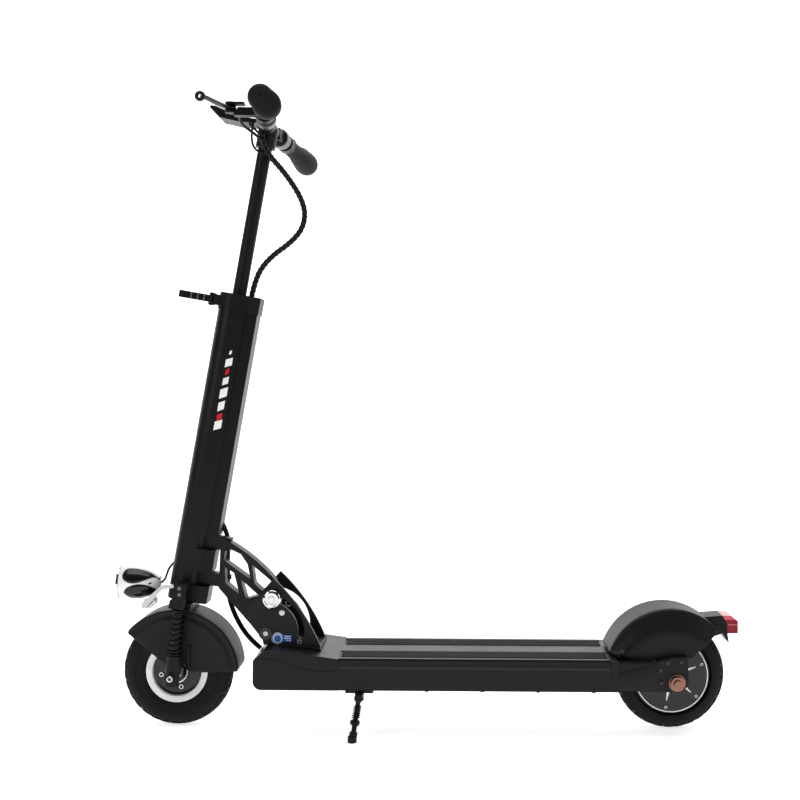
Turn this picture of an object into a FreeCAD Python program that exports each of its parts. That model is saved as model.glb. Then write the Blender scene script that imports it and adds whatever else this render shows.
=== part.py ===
"""Electric kick scooter with a folding stem, a sliding handlebar post, a sprung fork and a hub motor.

Millimetres, +X forward, +Y to the rider's left, +Z up, ground at Z = 0, origin under the middle.
"""
import FreeCAD, Part
import math
import os
import re

V = FreeCAD.Vector
doc = FreeCAD.newDocument("KickScooter")

# ---------------------------------------------------------------- driving dimensions
SIZES = (
    ("tyre_radius", 100, "both tyres, outside"),
    ("tyre_width", 50, "both tyres"),
    ("front_axle", 452, "front axle, forward of the middle"),
    ("rear_axle_back", 448, "rear axle, behind the middle"),
    ("axle_height", 100, "both axles above the ground"),
    ("stem_foot", 480, "where the steering axis meets the ground"),
    ("stem_tilt", 9.6, "steering axis back from upright, degrees"),
    ("leg_tilt", 5.5, "fork legs back from upright, degrees"),
    ("stem_bottom", 233, "stem shell, along the steering axis"),
    ("stem_top", 768, "stem shell, along the steering axis"),
    ("collar_height", 31, "post clamp collar on top of the stem"),
    ("stem_side", 28.5, "half the width of the stem shell"),
    ("shell_wall", 3, "stem shell"),
    ("post_radius", 12.7, "sliding handlebar post"),
    ("post_bottom", 640, "lower end of the post at full height"),
    ("bar_height", 1110.5, "handlebar centre, along the steering axis"),
    ("bar_radius", 11.1, "handlebar tube"),
    ("bar_length", 222, "each handlebar tube, from its fold hinge"),
    ("hinge_side", 50, "handlebar fold hinge from the middle"),
    ("fit", 0.05, "radial clearance of a running fit"),
    ("deck_side", 87, "half the width of the deck"),
    ("deck_bottom", 85, "underside of the deck"),
    ("deck_top", 139, "top of the deck extrusion"),
    ("deck_front", 152.5, "front end of the deck extrusion"),
    ("deck_rear", -330, "rear end of the deck extrusion"),
    ("fold_x", 286.6, "folding pivot, forward"),
    ("fold_z", 175.9, "folding pivot, up"),
    ("pin_reach", 64, "lock pin from the folding pivot"),
    ("plate_inner", 38, "inner face of the folding bracket's side plates"),
    ("plate_wall", 6, "folding bracket's side plates"),
    ("arm_half", 13, "half the thickness of the arm's lattice"),
    ("heel_radius", 20.4, "arm's heel round the folding pivot, clear of the deck's cap"),
    ("foot_spread", 104, "width of the folding bracket's foot"),
    ("leg_side", 56, "fork leg centre from the middle"),
    ("stanchion_radius", 8.5, "fork's upper tubes"),
    ("leg_radius", 13, "fork's lower legs"),
    ("axle_radius", 5, "front axle"),
    ("motor_axle_radius", 7, "rear axle"),
    ("harness_radius", 5.7, "wrapped cable bundle at the handlebar"),
    ("lead_radius", 4.5, "cable from the stem to the deck"),
    ("lamp_lead_radius", 2, "headlight lead"),
)
sheet = doc.addObject("Spreadsheet::Sheet", "Sizes")
for row, (alias, value, note) in enumerate(SIZES, start=1):
    sheet.set(f"A{row}", note)
    sheet.set(f"B{row}", str(value))
    sheet.setAlias(f"B{row}", alias)
doc.recompute()


def size(alias):
    return float(sheet.get(alias))


def bind(item, prop, value):
    """Text is an expression in the sheet's names; a number is a fixed detail."""
    if isinstance(value, str):
        item.setExpression(prop, re.sub(r"[a-z_]+", lambda m: "Sizes." + m.group(), value))
    else:
        setattr(item, prop, value)


# ---------------------------------------------------------------- frames
TILT = FreeCAD.Rotation(V(0, 1, 0), -size("stem_tilt"))
STEM = FreeCAD.Placement(V(size("stem_foot"), 0, 0), TILT)
LEG = FreeCAD.Placement(V(size("front_axle"), 0, size("axle_height")),
                        FreeCAD.Rotation(V(0, 1, 0), -size("leg_tilt")))
ALONG_Y = FreeCAD.Rotation(V(1, 0, 0), -90)
ALONG_X = FreeCAD.Rotation(V(0, 1, 0), 90)
FRONT_WHEEL = FreeCAD.Placement(V(size("front_axle"), 0, size("axle_height")), ALONG_Y)
REAR_WHEEL = FreeCAD.Placement(V(-size("rear_axle_back"), 0, size("axle_height")), ALONG_Y)
BAR_CENTRE = STEM.multVec(V(0, 0, size("bar_height")))
BAR_WAY = V(-29, 275, -6).normalize()
HINGE = BAR_CENTRE + BAR_WAY * (size("hinge_side") / BAR_WAY.y)
LEFT_BAR = FreeCAD.Placement(HINGE, FreeCAD.Rotation(V(1, 0, 0), V(), BAR_WAY, "ZXY"))


def at(x, y, z, turn=FreeCAD.Rotation()):
    return FreeCAD.Placement(V(x, y, z), turn)


# ---------------------------------------------------------------- building blocks
nodes = []


def node(item, label):
    item.Label = label
    nodes.append(item)
    return item


def drawn(body, plane, loops):
    """A sketch of closed loops: points, ((through), (end)) arcs, or one (x, y, radius) circle."""
    sketch = body.newObject("Sketcher::SketchObject", "Sketch")
    origin = {feature.Role: feature for feature in body.Origin.OriginFeatures}
    sketch.AttachmentSupport = [(origin[plane], "")]
    sketch.MapMode = "FlatFace"
    for loop in loops:
        if isinstance(loop, tuple):
            x, y, radius = loop
            sketch.addGeometry(Part.Circle(V(x, y, 0), V(0, 0, 1), radius), False)
            continue
        here = loop[0]
        for step in loop[1:] + [loop[0]]:
            arc = isinstance(step[0], tuple)
            there = step[1] if arc else step
            if there == here:
                continue
            if arc:
                edge = Part.Arc(V(*here, 0), V(*step[0], 0), V(*there, 0))
            else:
                edge = Part.LineSegment(V(*here, 0), V(*there, 0))
            sketch.addGeometry(edge, False)
            here = there
    return sketch


def padded(name, plane, loops, length, place=FreeCAD.Placement(), both_ways=True):
    """A prism, by default padded half its length each side of the plane."""
    body = doc.addObject("PartDesign::Body", name)
    pad = body.newObject("PartDesign::Pad", "Pad")
    pad.Profile = drawn(body, plane, loops)
    bind(pad, "Length", length)
    if both_ways:
        pad.SideType = "Symmetric"
    body.Placement = place
    return body


def side_plate(name, loops, length, middle=0):
    """A profile in the XZ plane, padded along Y about `middle`."""
    return padded(name, "XZ_Plane", loops, length, at(0, middle, 0))


def turned(name, profile, place=FreeCAD.Placement()):
    """A (radius, height) profile turned about the body's own Z axis."""
    body = doc.addObject("PartDesign::Body", name)
    sketch = drawn(body, "XZ_Plane", [profile])
    turn = body.newObject("PartDesign::Revolution", "Turn")
    turn.Profile = sketch
    turn.ReferenceAxis = (sketch, ["V_Axis"])
    turn.Angle = 360
    body.Placement = place
    return body


def cylinder(name, radius, height, place):
    item = doc.addObject("Part::Cylinder", name)
    item.Placement = place
    bind(item, "Radius", radius)
    bind(item, "Height", height)
    return item


def box(name, low, high, place=FreeCAD.Placement()):
    item = doc.addObject("Part::Box", name)
    item.Length, item.Width, item.Height = (b - a for a, b in zip(low, high))
    item.Placement = place.multiply(at(*low))
    return item


def fused(name, *items):
    item = doc.addObject("Part::MultiFuse", name)
    item.Shapes = list(items)
    return item


def cut(name, base, *tools):
    item = doc.addObject("Part::Cut", name)
    item.Base = base
    item.Tool = tools[0] if len(tools) == 1 else fused(name + "_tools", *tools)
    return item


def mirrored(name, item):
    """The same piece on the other side of the scooter."""
    other = doc.addObject("Part::Mirroring", name)
    other.Source = item
    other.Normal = V(0, 1, 0)
    return other


def group(name, *items):
    item = doc.addObject("Part::Compound", name)
    item.Links = list(items)
    return item


def pair(name, item):
    return group(name, item, mirrored(name + "_other", item))


def rounded_route(points):
    """Straight runs joined by tangent arcs, each as large as its two runs allow."""
    spots = [V(*point) for point in points]
    edges, here, radii = [], spots[0], []
    for before, corner, after in zip(spots, spots[1:], spots[2:]):
        way_in, way_out = (corner - before), (after - corner)
        turn = way_in.getAngle(way_out)
        back = 0.45 * min(way_in.Length, way_out.Length)
        radii.append(back / math.tan(turn / 2))
        way_in.normalize()
        way_out.normalize()
        start, end = corner - way_in * back, corner + way_out * back
        inward = (way_out - way_in).normalize()
        middle = (start + end) * 0.5 - inward * radii[-1] * (1 - math.cos(turn / 2))
        edges.append(Part.LineSegment(here, start).toShape())
        edges.append(Part.Arc(start, middle, end).toShape())
        here = end
    edges.append(Part.LineSegment(here, spots[-1]).toShape())
    return Part.Wire(edges), radii


def cable(name, points, radius_name):
    radius = size(radius_name)
    wire, radii = rounded_route(points)
    first_way = V(*points[1]) - V(*points[0])
    ring = Part.Wire([Part.Circle(V(*points[0]), first_way, radius).toShape()])
    tube = wire.makePipeShell([ring], True, False)
    item = doc.addObject("Part::Feature", name)
    item.Shape = tube
    share = tube.Volume / (math.pi * radius ** 2 * wire.Length)
    print(f"{name}: {wire.Length:.0f} mm, volume share {share:.3f}, radii",
          " ".join(f"{value:.0f}" for value in radii))
    return item


# ---------------------------------------------------------------- deck
DECK_MIDDLE = (size("deck_front") + size("deck_rear")) / 2
DECK_LENGTH = "deck_front - deck_rear"
SIDE, LOW, TOP = size("deck_side"), size("deck_bottom"), size("deck_top")
LAND = 1.5          # raised lands between the grip strips
COVER = 3           # bottom cover plate


def make_deck():
    half = [(24, TOP + LAND), (24.5, TOP), (70.5, TOP), (71, TOP + LAND), (SIDE - 6, TOP + LAND),
            (SIDE - 4, TOP - 2), (SIDE - 4, TOP - 12), (SIDE, TOP - 15), (SIDE, LOW + COVER),
            (SIDE - 6, LOW + COVER), (SIDE - 9, LOW + COVER + 10), (SIDE - 9, TOP - 5)]
    section = half + [(-y, z) for y, z in reversed(half)]
    shell = padded("Shell", "YZ_Plane", [section], DECK_LENGTH, at(DECK_MIDDLE, 0, 0))
    node(shell, "deck_shell")
    strip = box("Strip", (size("deck_rear") + 4, 25, TOP), (size("deck_front") - 4, 70, TOP + 2.2))
    node(pair("Strips", strip), "grip_strips")
    cover = box("Cover", (size("deck_rear"), -SIDE + 1, LOW), (size("deck_front"), SIDE - 1, LOW + COVER))
    node(cover, "bottom_cover")
    screws = []
    for index in range(5):
        x = -300 + index * 98.6
        screws.append(cylinder("Screw", 3.5, 2, at(x, 81, LOW - 2)))
        screws.append(cylinder("Screw", 3.5, 2, at(x, -81, LOW - 2)))
    node(group("Screws", *screws), "cover_screws")
    node(box("Battery", (-290, -62, 92), (130, 68, 130)), "battery_pack")
    node(box("Controller", (165, -60, 92), (270, 60, 126)), "motor_controller")


CAP_TOP = [(152.5, TOP + LAND), (262, 155), (284, 155), (303, 136)]


def make_front_cap():
    outside = CAP_TOP + [(303, 100), ((298.6, 89.4), (288, LOW)), (152.5, LOW)]
    inside = [(152, TOP - 4), (258, 149), (281, 149), (297, 134), (297, 102),
              ((293.6, 93.6), (286, 90)), (152, 90)]
    cap = cut("Cap", side_plate("Cap_out", [outside], "2 * deck_side"),
              side_plate("Cap_in", [inside], 2 * SIDE - 12))
    node(cap, "deck_front_cap")
    socket = cut("Socket", cylinder("Socket_out", 9, 12, at(225, SIDE - 10, 118, ALONG_Y)),
                 cylinder("Socket_in", 5.5, 10, at(225, SIDE - 6, 118, ALONG_Y)))
    node(mirrored("Socket_right", socket), "charge_socket")


def make_rear_casting():
    block = box("Block", (-343, -SIDE + 1, LOW), (size("deck_rear"), SIDE - 1, TOP))
    arm = side_plate("Rear_arm", [[(-330, LOW), (-330, 135), (-410, 136), (-439, 143), (-468, 145),
                                   (-468, 112), ((-465, 92), (-452, 83)), (-421, 84)]], 15, 69)
    axle_hole = cylinder("Axle_hole", "motor_axle_radius", 200,
                         REAR_WHEEL.multiply(at(0, 0, -100)))
    casting = cut("Casting", fused("Casting_solid", block, arm, mirrored("Rear_arm_right", arm)), axle_hole)
    node(casting, "rear_casting")
    face = SIDE - 10.5
    bolt = [cylinder("Bolt", 3.5, 3, at(-445 + dx, face, 98.8 + dz, ALONG_Y))
            for dx, dz in ((27, 23), (25, 1), (13.5, 37), (-10, 38.5))]
    return bolt


# ---------------------------------------------------------------- rear wheel and hub motor
def tyre_profile(bead, bead_half):
    """Section of a tyre about its own axis, with a flat crown."""
    out, half = size("tyre_radius"), size("tyre_width") / 2
    return [(bead, -bead_half), (bead + 4, -half + 2), (out - 20, -half),
            ((out - 5.5, -half + 4), (out, -12)), (out, 12), ((out - 5.5, half - 4), (out - 20, half)),
            (bead + 4, half - 2), (bead, bead_half)]


def make_rear_wheel():
    node(turned("Rear_tyre", tyre_profile(73, 20), REAR_WHEEL), "rear_tyre")
    node(turned("Rotor", [(60, -19), (73, -19), (73, 19), (60, 19)], REAR_WHEEL), "motor_rotor")
    cover = turned("Motor_cover", [(16, 17), (20, 17), (20, 19), (72.9, 19), (72.9, 21), (66, 24), (16, 24)],
                   REAR_WHEEL)
    node(pair("Motor_covers", cover), "motor_covers")
    shaft = size("motor_axle_radius") + size("fit")
    bearing = turned("Motor_bearing", [(shaft, 17), (16, 17), (16, 24), (shaft, 24)], REAR_WHEEL)
    node(pair("Motor_bearings", bearing), "motor_bearings")
    node(cylinder("Motor_axle", "motor_axle_radius", 184, REAR_WHEEL.multiply(at(0, 0, -92))), "motor_axle")
    shaft = size("motor_axle_radius")
    node(turned("Stator", [(shaft, -13), (58, -13), (58, 13), (shaft, 13)], REAR_WHEEL), "motor_stator")
    nut = turned("Axle_nut", [(shaft, 76.5), (15, 76.5), (15, 79), (12.5, 79), (12.5, 87), (shaft, 87)],
                 REAR_WHEEL)
    node(pair("Axle_nuts", nut), "rear_axle_nuts")


def make_rear_mudguard():
    outside = [(-334, 152), ((-444, 225), (-529, 188)), (-517, 175), (-502, 140), (-433, 137),
               (-363, 134), (-347, 141)]
    inside = [(-338, 120), (-338, 152), ((-445, 222), (-531, 184)), (-560, 184), (-560, 120)]
    solid = side_plate("Guard_out", [outside], 120)
    guard = cut("Guard", solid, side_plate("Guard_in", [inside], 114))
    node(guard, "rear_mudguard")
    housing = side_plate("Housing", [[(-505, 206), (-541, 209), (-550, 193), (-550, 176.5),
                                      (-553, 158.8), (-541, 176.4), (-522, 169.7), (-512, 176)]], 46)
    tail = cut("Tail", cut("Tail_front", housing, solid), cylinder("Tyre_room", 103, 60,
               REAR_WHEEL.multiply(at(0, 0, -30))))
    node(tail, "tail_light_housing")
    lens = side_plate("Lens", [[(-541, 209), (-557, 208.5), (-569, 199), (-569, 177), (-550, 176.5),
                                (-550, 193)]], 46)
    node(lens, "tail_light_lens")


# ---------------------------------------------------------------- kickstand
STAND = V(115, 88, 74)          # kickstand pivot
FOOT = V(125, 105, 0)


def make_kickstand():
    plate = box("Stand_plate", (90, 58, LOW - 6), (140, 81, LOW))
    lug = box("Stand_lug", (107, 70, 66), (123, 81, LOW - 5))
    pin = cylinder("Stand_pin", 4, 28, at(STAND.x, 72, STAND.z, ALONG_Y))
    head = cylinder("Stand_head", 7, 3, at(STAND.x, 96.5, STAND.z, ALONG_Y))
    node(fused("Stand_mount", plate, lug, pin, head), "kickstand_mount")
    way = FOOT - STAND
    hub = cylinder("Stand_hub", 8, 14, at(STAND.x, 82, STAND.z, ALONG_Y))
    lean = FreeCAD.Rotation(V(0, 0, 1), way)
    rod = cylinder("Stand_rod", 4.5, way.Length - 12, FreeCAD.Placement(STAND + V(0, 1, 0), lean))
    collar = cylinder("Stand_collar", 7, 10, FreeCAD.Placement(STAND + way * 0.5, lean))
    bore = cylinder("Stand_bore", 4 + size("fit"), 20, at(STAND.x, 80, STAND.z, ALONG_Y))
    leg = cut("Stand_leg", fused("Stand_solid", hub, rod, collar), bore)
    node(leg, "kickstand_leg")
    foot_top = STAND + way * (1 - 12 / way.Length) + V(0, 1, 0)
    foot = cut("Stand_foot", fused("Foot_solid", cylinder("Foot_tip", 8, 10, at(FOOT.x, FOOT.y, 0)),
                                   cylinder("Foot_socket", 7, 14, FreeCAD.Placement(
                                       foot_top - way.normalize() * 6, lean))), rod)
    node(foot, "kickstand_foot")


# ---------------------------------------------------------------- folding bracket and arm
FOLD = V(size("fold_x"), 0, size("fold_z"))


def pivot_point(radius, degrees):
    """A point about the folding pivot, measured from straight ahead, upward."""
    angle = math.radians(degrees)
    return (FOLD.x + radius * math.cos(angle), FOLD.z + radius * math.sin(angle))


def make_fold_bracket():
    reach, half_slot = size("pin_reach"), 5.6
    slot = [pivot_point(reach + half_slot, 99), (pivot_point(reach + half_slot, 141),
                                                 pivot_point(reach + half_slot, 183)),
            (pivot_point(reach, 188), pivot_point(reach - half_slot, 183)),
            (pivot_point(reach - half_slot, 141), pivot_point(reach - half_slot, 99)),
            (pivot_point(reach, 94.5), pivot_point(reach + half_slot, 99))]
    edge = [(273, 274), (293.5, 251.5), (319, 223.5), (322.5, 211.5), (308.5, 191), (293, 166),
            (291, 155.3), (262, 155.3), (187, 145.4), (188, 152), ((222, 215), (273, 274))]
    middle = size("plate_inner") + size("plate_wall") / 2
    hole = (258, 213, 5.5)
    plate = side_plate("Plate", [edge, slot, hole], "plate_wall", middle)
    foot_edge = [(262, 155.3), (187, 145.4), (187, 151), (258, 159.5)]
    foot = side_plate("Bracket_foot", [foot_edge], "foot_spread")
    bracket = fused("Bracket", plate, mirrored("Plate_right", plate), foot)
    bore = cylinder("Fold_bore", 8, 200, at(FOLD.x, -100, FOLD.z, ALONG_Y))
    node(cut("Bracket_bored", bracket, bore), "fold_bracket")
    bolt = fused("Fold_bolt", cylinder("Fold_shaft", 8, 94, at(FOLD.x, -47, FOLD.z, ALONG_Y)),
                 cylinder("Fold_head", 11, 3, at(FOLD.x, 44, FOLD.z, ALONG_Y)),
                 cylinder("Fold_nut", 11, 3, at(FOLD.x, -47, FOLD.z, ALONG_Y)))
    node(bolt, "fold_pivot_bolt")
    return cylinder("Bracket_screw", 5, 0.6, at(226, 44, 161, ALONG_Y))


LATTICE = (
    [(366.2, 326.5), (338.4, 312.8), (326.0, 294.8), (320.2, 267.2), (369.2, 301.9)],
    [(317.7, 294.1), (282.5, 264.2), (297.1, 245.3), (312.6, 259.0)],
    [(367.5, 289.7), (350.4, 278.3), (340.2, 238.4), (365.7, 260.3)],
    [(338.8, 267.8), (305.1, 237.9), (327.9, 231.1)],
)


def in_stem(name, low, high):
    return box(name, low, high, STEM)


def stem_rod(name, radius, low, high):
    return cylinder(name, radius, high - low, STEM.multiply(at(0, 0, low)))


def make_arm():
    heel = size("heel_radius")
    edge = [(375.3, 343.9), ((325.8, 313.6), (275.8, 267.1)), (265.2, 242.8), (265.2, 217.6), (275.3, 181.2),
            pivot_point(heel, 222), (pivot_point(heel, 266), pivot_point(heel, 310)),
            (319.8, 185.2), (378.4, 250.9)]
    plate = side_plate("Lattice", [edge, *LATTICE], "2 * arm_half")
    lugs = [in_stem("Lug", (-64, -10, 266), (-19, 10, 290)), in_stem("Lug", (-66, -10, 333), (-19, 10, 357))]
    head = stem_rod("Head_tube", 22, 255, 368)
    boss = cylinder("Boss", 15, 74, at(FOLD.x, -37, FOLD.z, ALONG_Y))
    pin_boss = cylinder("Pin_boss", 11, 37, at(*pin_spot(0), ALONG_Y))
    solid = fused("Arm_solid", plate, *lugs, head, boss, pin_boss)
    bores = (stem_rod("Head_bore", 17.5, 250, 370),
             cylinder("Arm_bore", 8 + size("fit"), 100, at(FOLD.x, -50, FOLD.z, ALONG_Y)),
             cylinder("Pin_bore", 5 + size("fit"), 40, at(*pin_spot(20), ALONG_Y)))
    clip = cut("Clip", fused("Clip_solid", cylinder("Clip_ring", 7, 8, at(368, -20, 262)),
                             box("Clip_tab", (364, -20, 262), (371, -12, 270))),
               cylinder("Clip_bore", "lead_radius", 12, at(368, -20, 260)))
    node(fused("Arm_with_clip", cut("Arm", solid, *bores), clip), "fold_arm")
    steerer = 14 + size("fit")
    rings = [turned("Head_bearing", [(steerer, low), (17.5, low), (17.5, low + 8), (steerer, low + 8)], STEM)
             for low in (255, 360)]
    node(group("Head_bearings", *rings), "head_bearings")


def pin_spot(y):
    x, z = pivot_point(size("pin_reach"), 100.4)
    return (x, y, z)


def make_lock_pin():
    pin = cylinder("Pin", 5, 34, at(*pin_spot(20), ALONG_Y))
    knob = turned("Knob", [(0, 0), (12, 0), (17, 4), (17, 11), (14, 14), (0, 14)],
                  at(*pin_spot(45), ALONG_Y))
    node(fused("Lock_pin", pin, knob), "lock_pin")


# ---------------------------------------------------------------- stem
def stem_section(inset, front=33.0, rear=-42.5):
    """Rounded front, flat sides and a narrower flat rear."""
    side, nose, back = size("stem_side") - inset, front - inset, rear + inset
    shoulder = side * 0.72
    return [(2, side), (-25, side), (back, shoulder), (back, -shoulder), (-25, -side), (2, -side),
            ((nose, 0), (2, side))]


def stem_prism(name, inset, low, high):
    place = STEM.multiply(at(0, 0, low))
    return padded(name, "XY_Plane", [stem_section(inset)], high - low, place, both_ways=False)


def make_stem():
    low, top, wall = size("stem_bottom"), size("stem_top"), size("shell_wall")
    bore = size("post_radius") + size("fit")
    tools = (stem_prism("Stem_low_room", wall, low - 1, 372), stem_prism("Stem_high_room", wall, 384,
                                                                         top - 10),
             stem_rod("Post_hole", bore, top - 20, top + 5), stem_rod("Steerer_hole", 14, 370, 386),
             in_stem("Window", (-60, -40, 264.5), (-9, 40, 291.5)),
             in_stem("Window", (-60, -40, 331.5), (-9, 40, 358.5)))
    node(cut("Stem", stem_prism("Stem_solid", 0, low, top), *tools), "stem_shell")
    high = top + size("collar_height")
    block = fused("Collar_solid", stem_prism("Collar_block", -1.5, top, high),
                  in_stem("Collar_ear", (30, 6, top + 6), (42, 14, high - 6)),
                  in_stem("Collar_ear", (30, -14, top + 6), (42, -6, high - 6)))
    collar = cut("Collar", block, stem_rod("Collar_bore", bore, top - 1, high + 1),
                 in_stem("Collar_slit", (10, -1, top - 1), (50, 1, high + 1)))
    middle = top + size("collar_height") / 2
    swing = STEM.multiply(at(44, 0, middle))
    lever = cut("Lever", fused("Lever_solid", cylinder("Lever_hub", 7, 13, swing.multiply(at(5, 0, -6.5))),
                               box("Lever_blade", (8, -4, -6.5), (60, 4, 6.5), swing),
                               cylinder("Lever_tip", 6, 13, swing.multiply(at(60, 0, -6.5)))),
                cylinder("Lever_bore", 3 + size("fit"), 20, swing.multiply(at(5, 0, -10))))
    node(lever, "clamp_lever")
    yoke = fused("Lever_yoke", cylinder("Lever_pin", 3, 24, swing.multiply(at(5, 0, -12))),
                 box("Yoke_low", (-1.9, -5, -11), (9, 5, -6.8), swing),
                 box("Yoke_high", (-1.9, -5, 6.8), (9, 5, 11), swing))
    node(group("Collar_with_pin", collar, yoke), "stem_collar")


def make_fork():
    yoke = fused("Yoke", in_stem("Yoke_block", (-20, -43, 219), (20, 43, 233)),
                 in_stem("Yoke_shoulder", (-11, -46, 226), (11, 46, 233)))
    ears = [in_stem("Ear", (-11, 43, 226), (11, 69, 272)), in_stem("Ear", (-11, -69, 226), (11, -43, 272))]
    steerer = stem_rod("Steerer", 14, 225, 384)
    tube = cylinder("Stanchion", "stanchion_radius", 126, LEG.multiply(at(0, size("leg_side"), 18)))
    solid = fused("Fork_solid", yoke, *ears, steerer, tube, mirrored("Stanchion_right", tube))
    node(solid, "fork_crown")
    leg = cylinder("Leg", "leg_radius", 54, LEG.multiply(at(0, size("leg_side"), -16)))
    room = cylinder("Leg_room", "stanchion_radius + fit", 40, LEG.multiply(at(0, size("leg_side"), 7)))
    hole = cylinder("Leg_hole", "axle_radius", 60, FRONT_WHEEL.multiply(at(0, 0, 40)))
    leg = cut("Leg_bored", leg, room, hole)
    node(pair("Fork_legs", leg), "fork_legs")
    spring = turned("Fork_spring", [(9, 38.3), (12, 38.3), (12, 121.5), (9, 121.5)],
                    LEG.multiply(at(0, size("leg_side"), 0)))
    node(pair("Fork_springs", spring), "fork_springs")
    shaft = cylinder("Front_shaft", "axle_radius", 142, FRONT_WHEEL.multiply(at(0, 0, -71)))
    nut = turned("Front_nut", [(5, 69.2), (9, 69.2), (9, 75), (5, 75)], FRONT_WHEEL)
    sleeve = turned("Front_sleeve", [(5, 19), (8, 19), (8, 42.9), (5, 42.9)], FRONT_WHEEL)
    node(fused("Front_axle", shaft, nut, mirrored("Front_nut_right", nut), sleeve,
               mirrored("Front_sleeve_right", sleeve)), "front_axle")


def make_front_wheel():
    node(turned("Front_tyre", tyre_profile(58, 20), FRONT_WHEEL), "front_tyre")
    rim = turned("Rim", [(13, -18), (19, -18), (19, -6), (46, -6), (46, -21), (56, -21), (58, -20), (58, 20),
                         (56, 21), (46, 21), (46, 6), (19, 6), (19, 18), (13, 18)], FRONT_WHEEL)
    node(rim, "front_rim")
    shaft = size("axle_radius") + size("fit")
    bearing = turned("Front_bearing", [(shaft, 10), (13, 10), (13, 17.5), (shaft, 17.5)], FRONT_WHEEL)
    node(pair("Front_bearings", bearing), "front_bearings")


def make_front_mudguard():
    """A rounded band over the tyre with a flat skirt down each side."""
    axle = V(size("front_axle"), 0, size("axle_height"))

    def rim(radius, degrees):
        angle = math.radians(degrees)
        return (axle.x + radius * math.cos(angle), axle.z + radius * math.sin(angle))
    edge = [rim(115, 41), (rim(115, 105), rim(115, 178)), (350, 99), (397, 104), (440, 106), (472, 117),
            (502, 142), (527, 167)]
    room = [rim(112.5, 20), (rim(112.5, 105), rim(112.5, 190)), (338, 60), (560, 60)]
    skirt = [rim(60, 0), (rim(60, 90), rim(60, 180)), (380, 60), (520, 60)]
    cover = side_plate("Guard_cover", [edge], 76)
    guard = cut("Front_guard", cover, side_plate("Guard_room", [room], 71),
                side_plate("Wheel_room", [skirt], 71))
    boss = cut("Guard_boss_end", cylinder("Guard_boss", 7, 10, STEM.multiply(at(-6, 0, 208.9))),
               side_plate("Boss_room", [room], 60))
    travel = fused("Axle_travel", cylinder("Axle_stop", 9.5, 90, FRONT_WHEEL.multiply(at(0, 0, -45))),
                   cylinder("Axle_top", 9.5, 90, at(axle.x - 1, -45, axle.z + 10.5, ALONG_Y)),
                   box("Axle_slot", (axle.x - 10, -45, axle.z), (axle.x + 9, 45, axle.z + 10)))
    node(cut("Mudguard", fused("Guard_whole", guard, boss), travel), "front_mudguard")


# ---------------------------------------------------------------- headlight
LAMP = V(528, 0, 258)
LAMP_PIVOT = V(507, 0, 223)


def make_lamp():
    place = FreeCAD.Placement(LAMP, ALONG_X)
    shell = turned("Lamp_shell", [(0, -40), (6, -39), ((22, -24), (31, 12)), (29.5, 30), (27, 30),
                                  (28.5, 12), ((20, -21), (5, -36)), (0, -36)], place)
    ring = cylinder("Lamp_lug", 9, 18, at(LAMP_PIVOT.x, -9, LAMP_PIVOT.z, ALONG_Y))
    neck = box("Lamp_neck", (LAMP_PIVOT.x - 5, -6, LAMP_PIVOT.z), (LAMP_PIVOT.x + 5, 6, LAMP_PIVOT.z + 12))
    inner = turned("Lamp_room", [(0, -36), (5, -36), ((20, -21), (28.5, 12)), (27, 30), (0, 30)], place)
    bore = cylinder("Lamp_bore", 5 + size("fit"), 40, at(LAMP_PIVOT.x, -20, LAMP_PIVOT.z, ALONG_Y))
    foot = cut("Lamp_foot", fused("Lamp_foot_solid", ring, neck), inner)
    node(cut("Lamp", fused("Lamp_solid", shell, foot), bore), "lamp_body")
    node(turned("Lamp_lens", [(0, 30.5), (29.5, 30.5), ((24, 37), (9, 41)), (0, 41)], place), "lamp_lens")
    cross = cylinder("Lamp_cross", 5, 54, at(LAMP_PIVOT.x, -12, LAMP_PIVOT.z, ALONG_Y))
    strip = side_plate("Lamp_strip", [[(454, 262), (478, 258.5), (512, 228), (505, 219), (475, 253),
                                       (454, 256)]], 12, 36)
    node(fused("Lamp_bracket", cross, strip), "lamp_bracket")
    points = ((486.4, 0, 258), (480, 0, 263), (476.5, 0, 273), (473, 0, 284), (466, 0, 293), (459, 0, 299))
    node(cable("Lamp_lead", points, "lamp_lead_radius"), "lamp_lead")


# ---------------------------------------------------------------- handlebar
def make_post():
    low, high = size("post_bottom"), size("bar_height")
    tube = cut("Post", stem_rod("Post_out", "post_radius", low, high - 15),
               stem_rod("Post_in", "post_radius - 2", low - 1, high + 1))
    node(tube, "sliding_post")
    cross = cylinder("Clamp_cross", 15, 69, FreeCAD.Placement(BAR_CENTRE - V(0, 34.5, 0), ALONG_Y))
    socket = cut("Clamp_socket", stem_rod("Socket_rod", 18, high - 38, high),
                 stem_rod("Socket_hole", "post_radius", high - 50, high - 15))
    tongue = fused("Tongue", cylinder("Tongue_end", 12, 10, LEFT_BAR.multiply(at(-5, 0, 0, ALONG_X))),
                   box("Tongue_plate", (-5, -12, -20), (5, 12, 0), LEFT_BAR))
    hole = cylinder("Tongue_hole", 3 + size("fit"), 30, LEFT_BAR.multiply(at(-15, 0, 0, ALONG_X)))
    ear = cut("Tongue_bored", tongue, hole)
    post_room = stem_rod("Post_room", "post_radius", high - 50, high - 15)
    clamp = cut("Clamp", fused("Clamp_solid", cross, socket, ear, mirrored("Tongue_right", ear)), post_room)
    node(clamp, "handlebar_clamp")
    display = side_plate("Display", [[(311, 1106), (340, 1110), (349, 1121), (396, 1131), (398, 1127),
                                      (380, 1109), (345, 1101), (309, 1099)]], 54)
    button_hole = cylinder("Button_hole", 7 + size("fit"), 20, DISPLAY_FACE.multiply(at(0, 0, -2.5)))
    node(cut("Display_bored", display, button_hole), "display")
    node(cylinder("Button", 7, 4, DISPLAY_FACE), "power_button")


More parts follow.
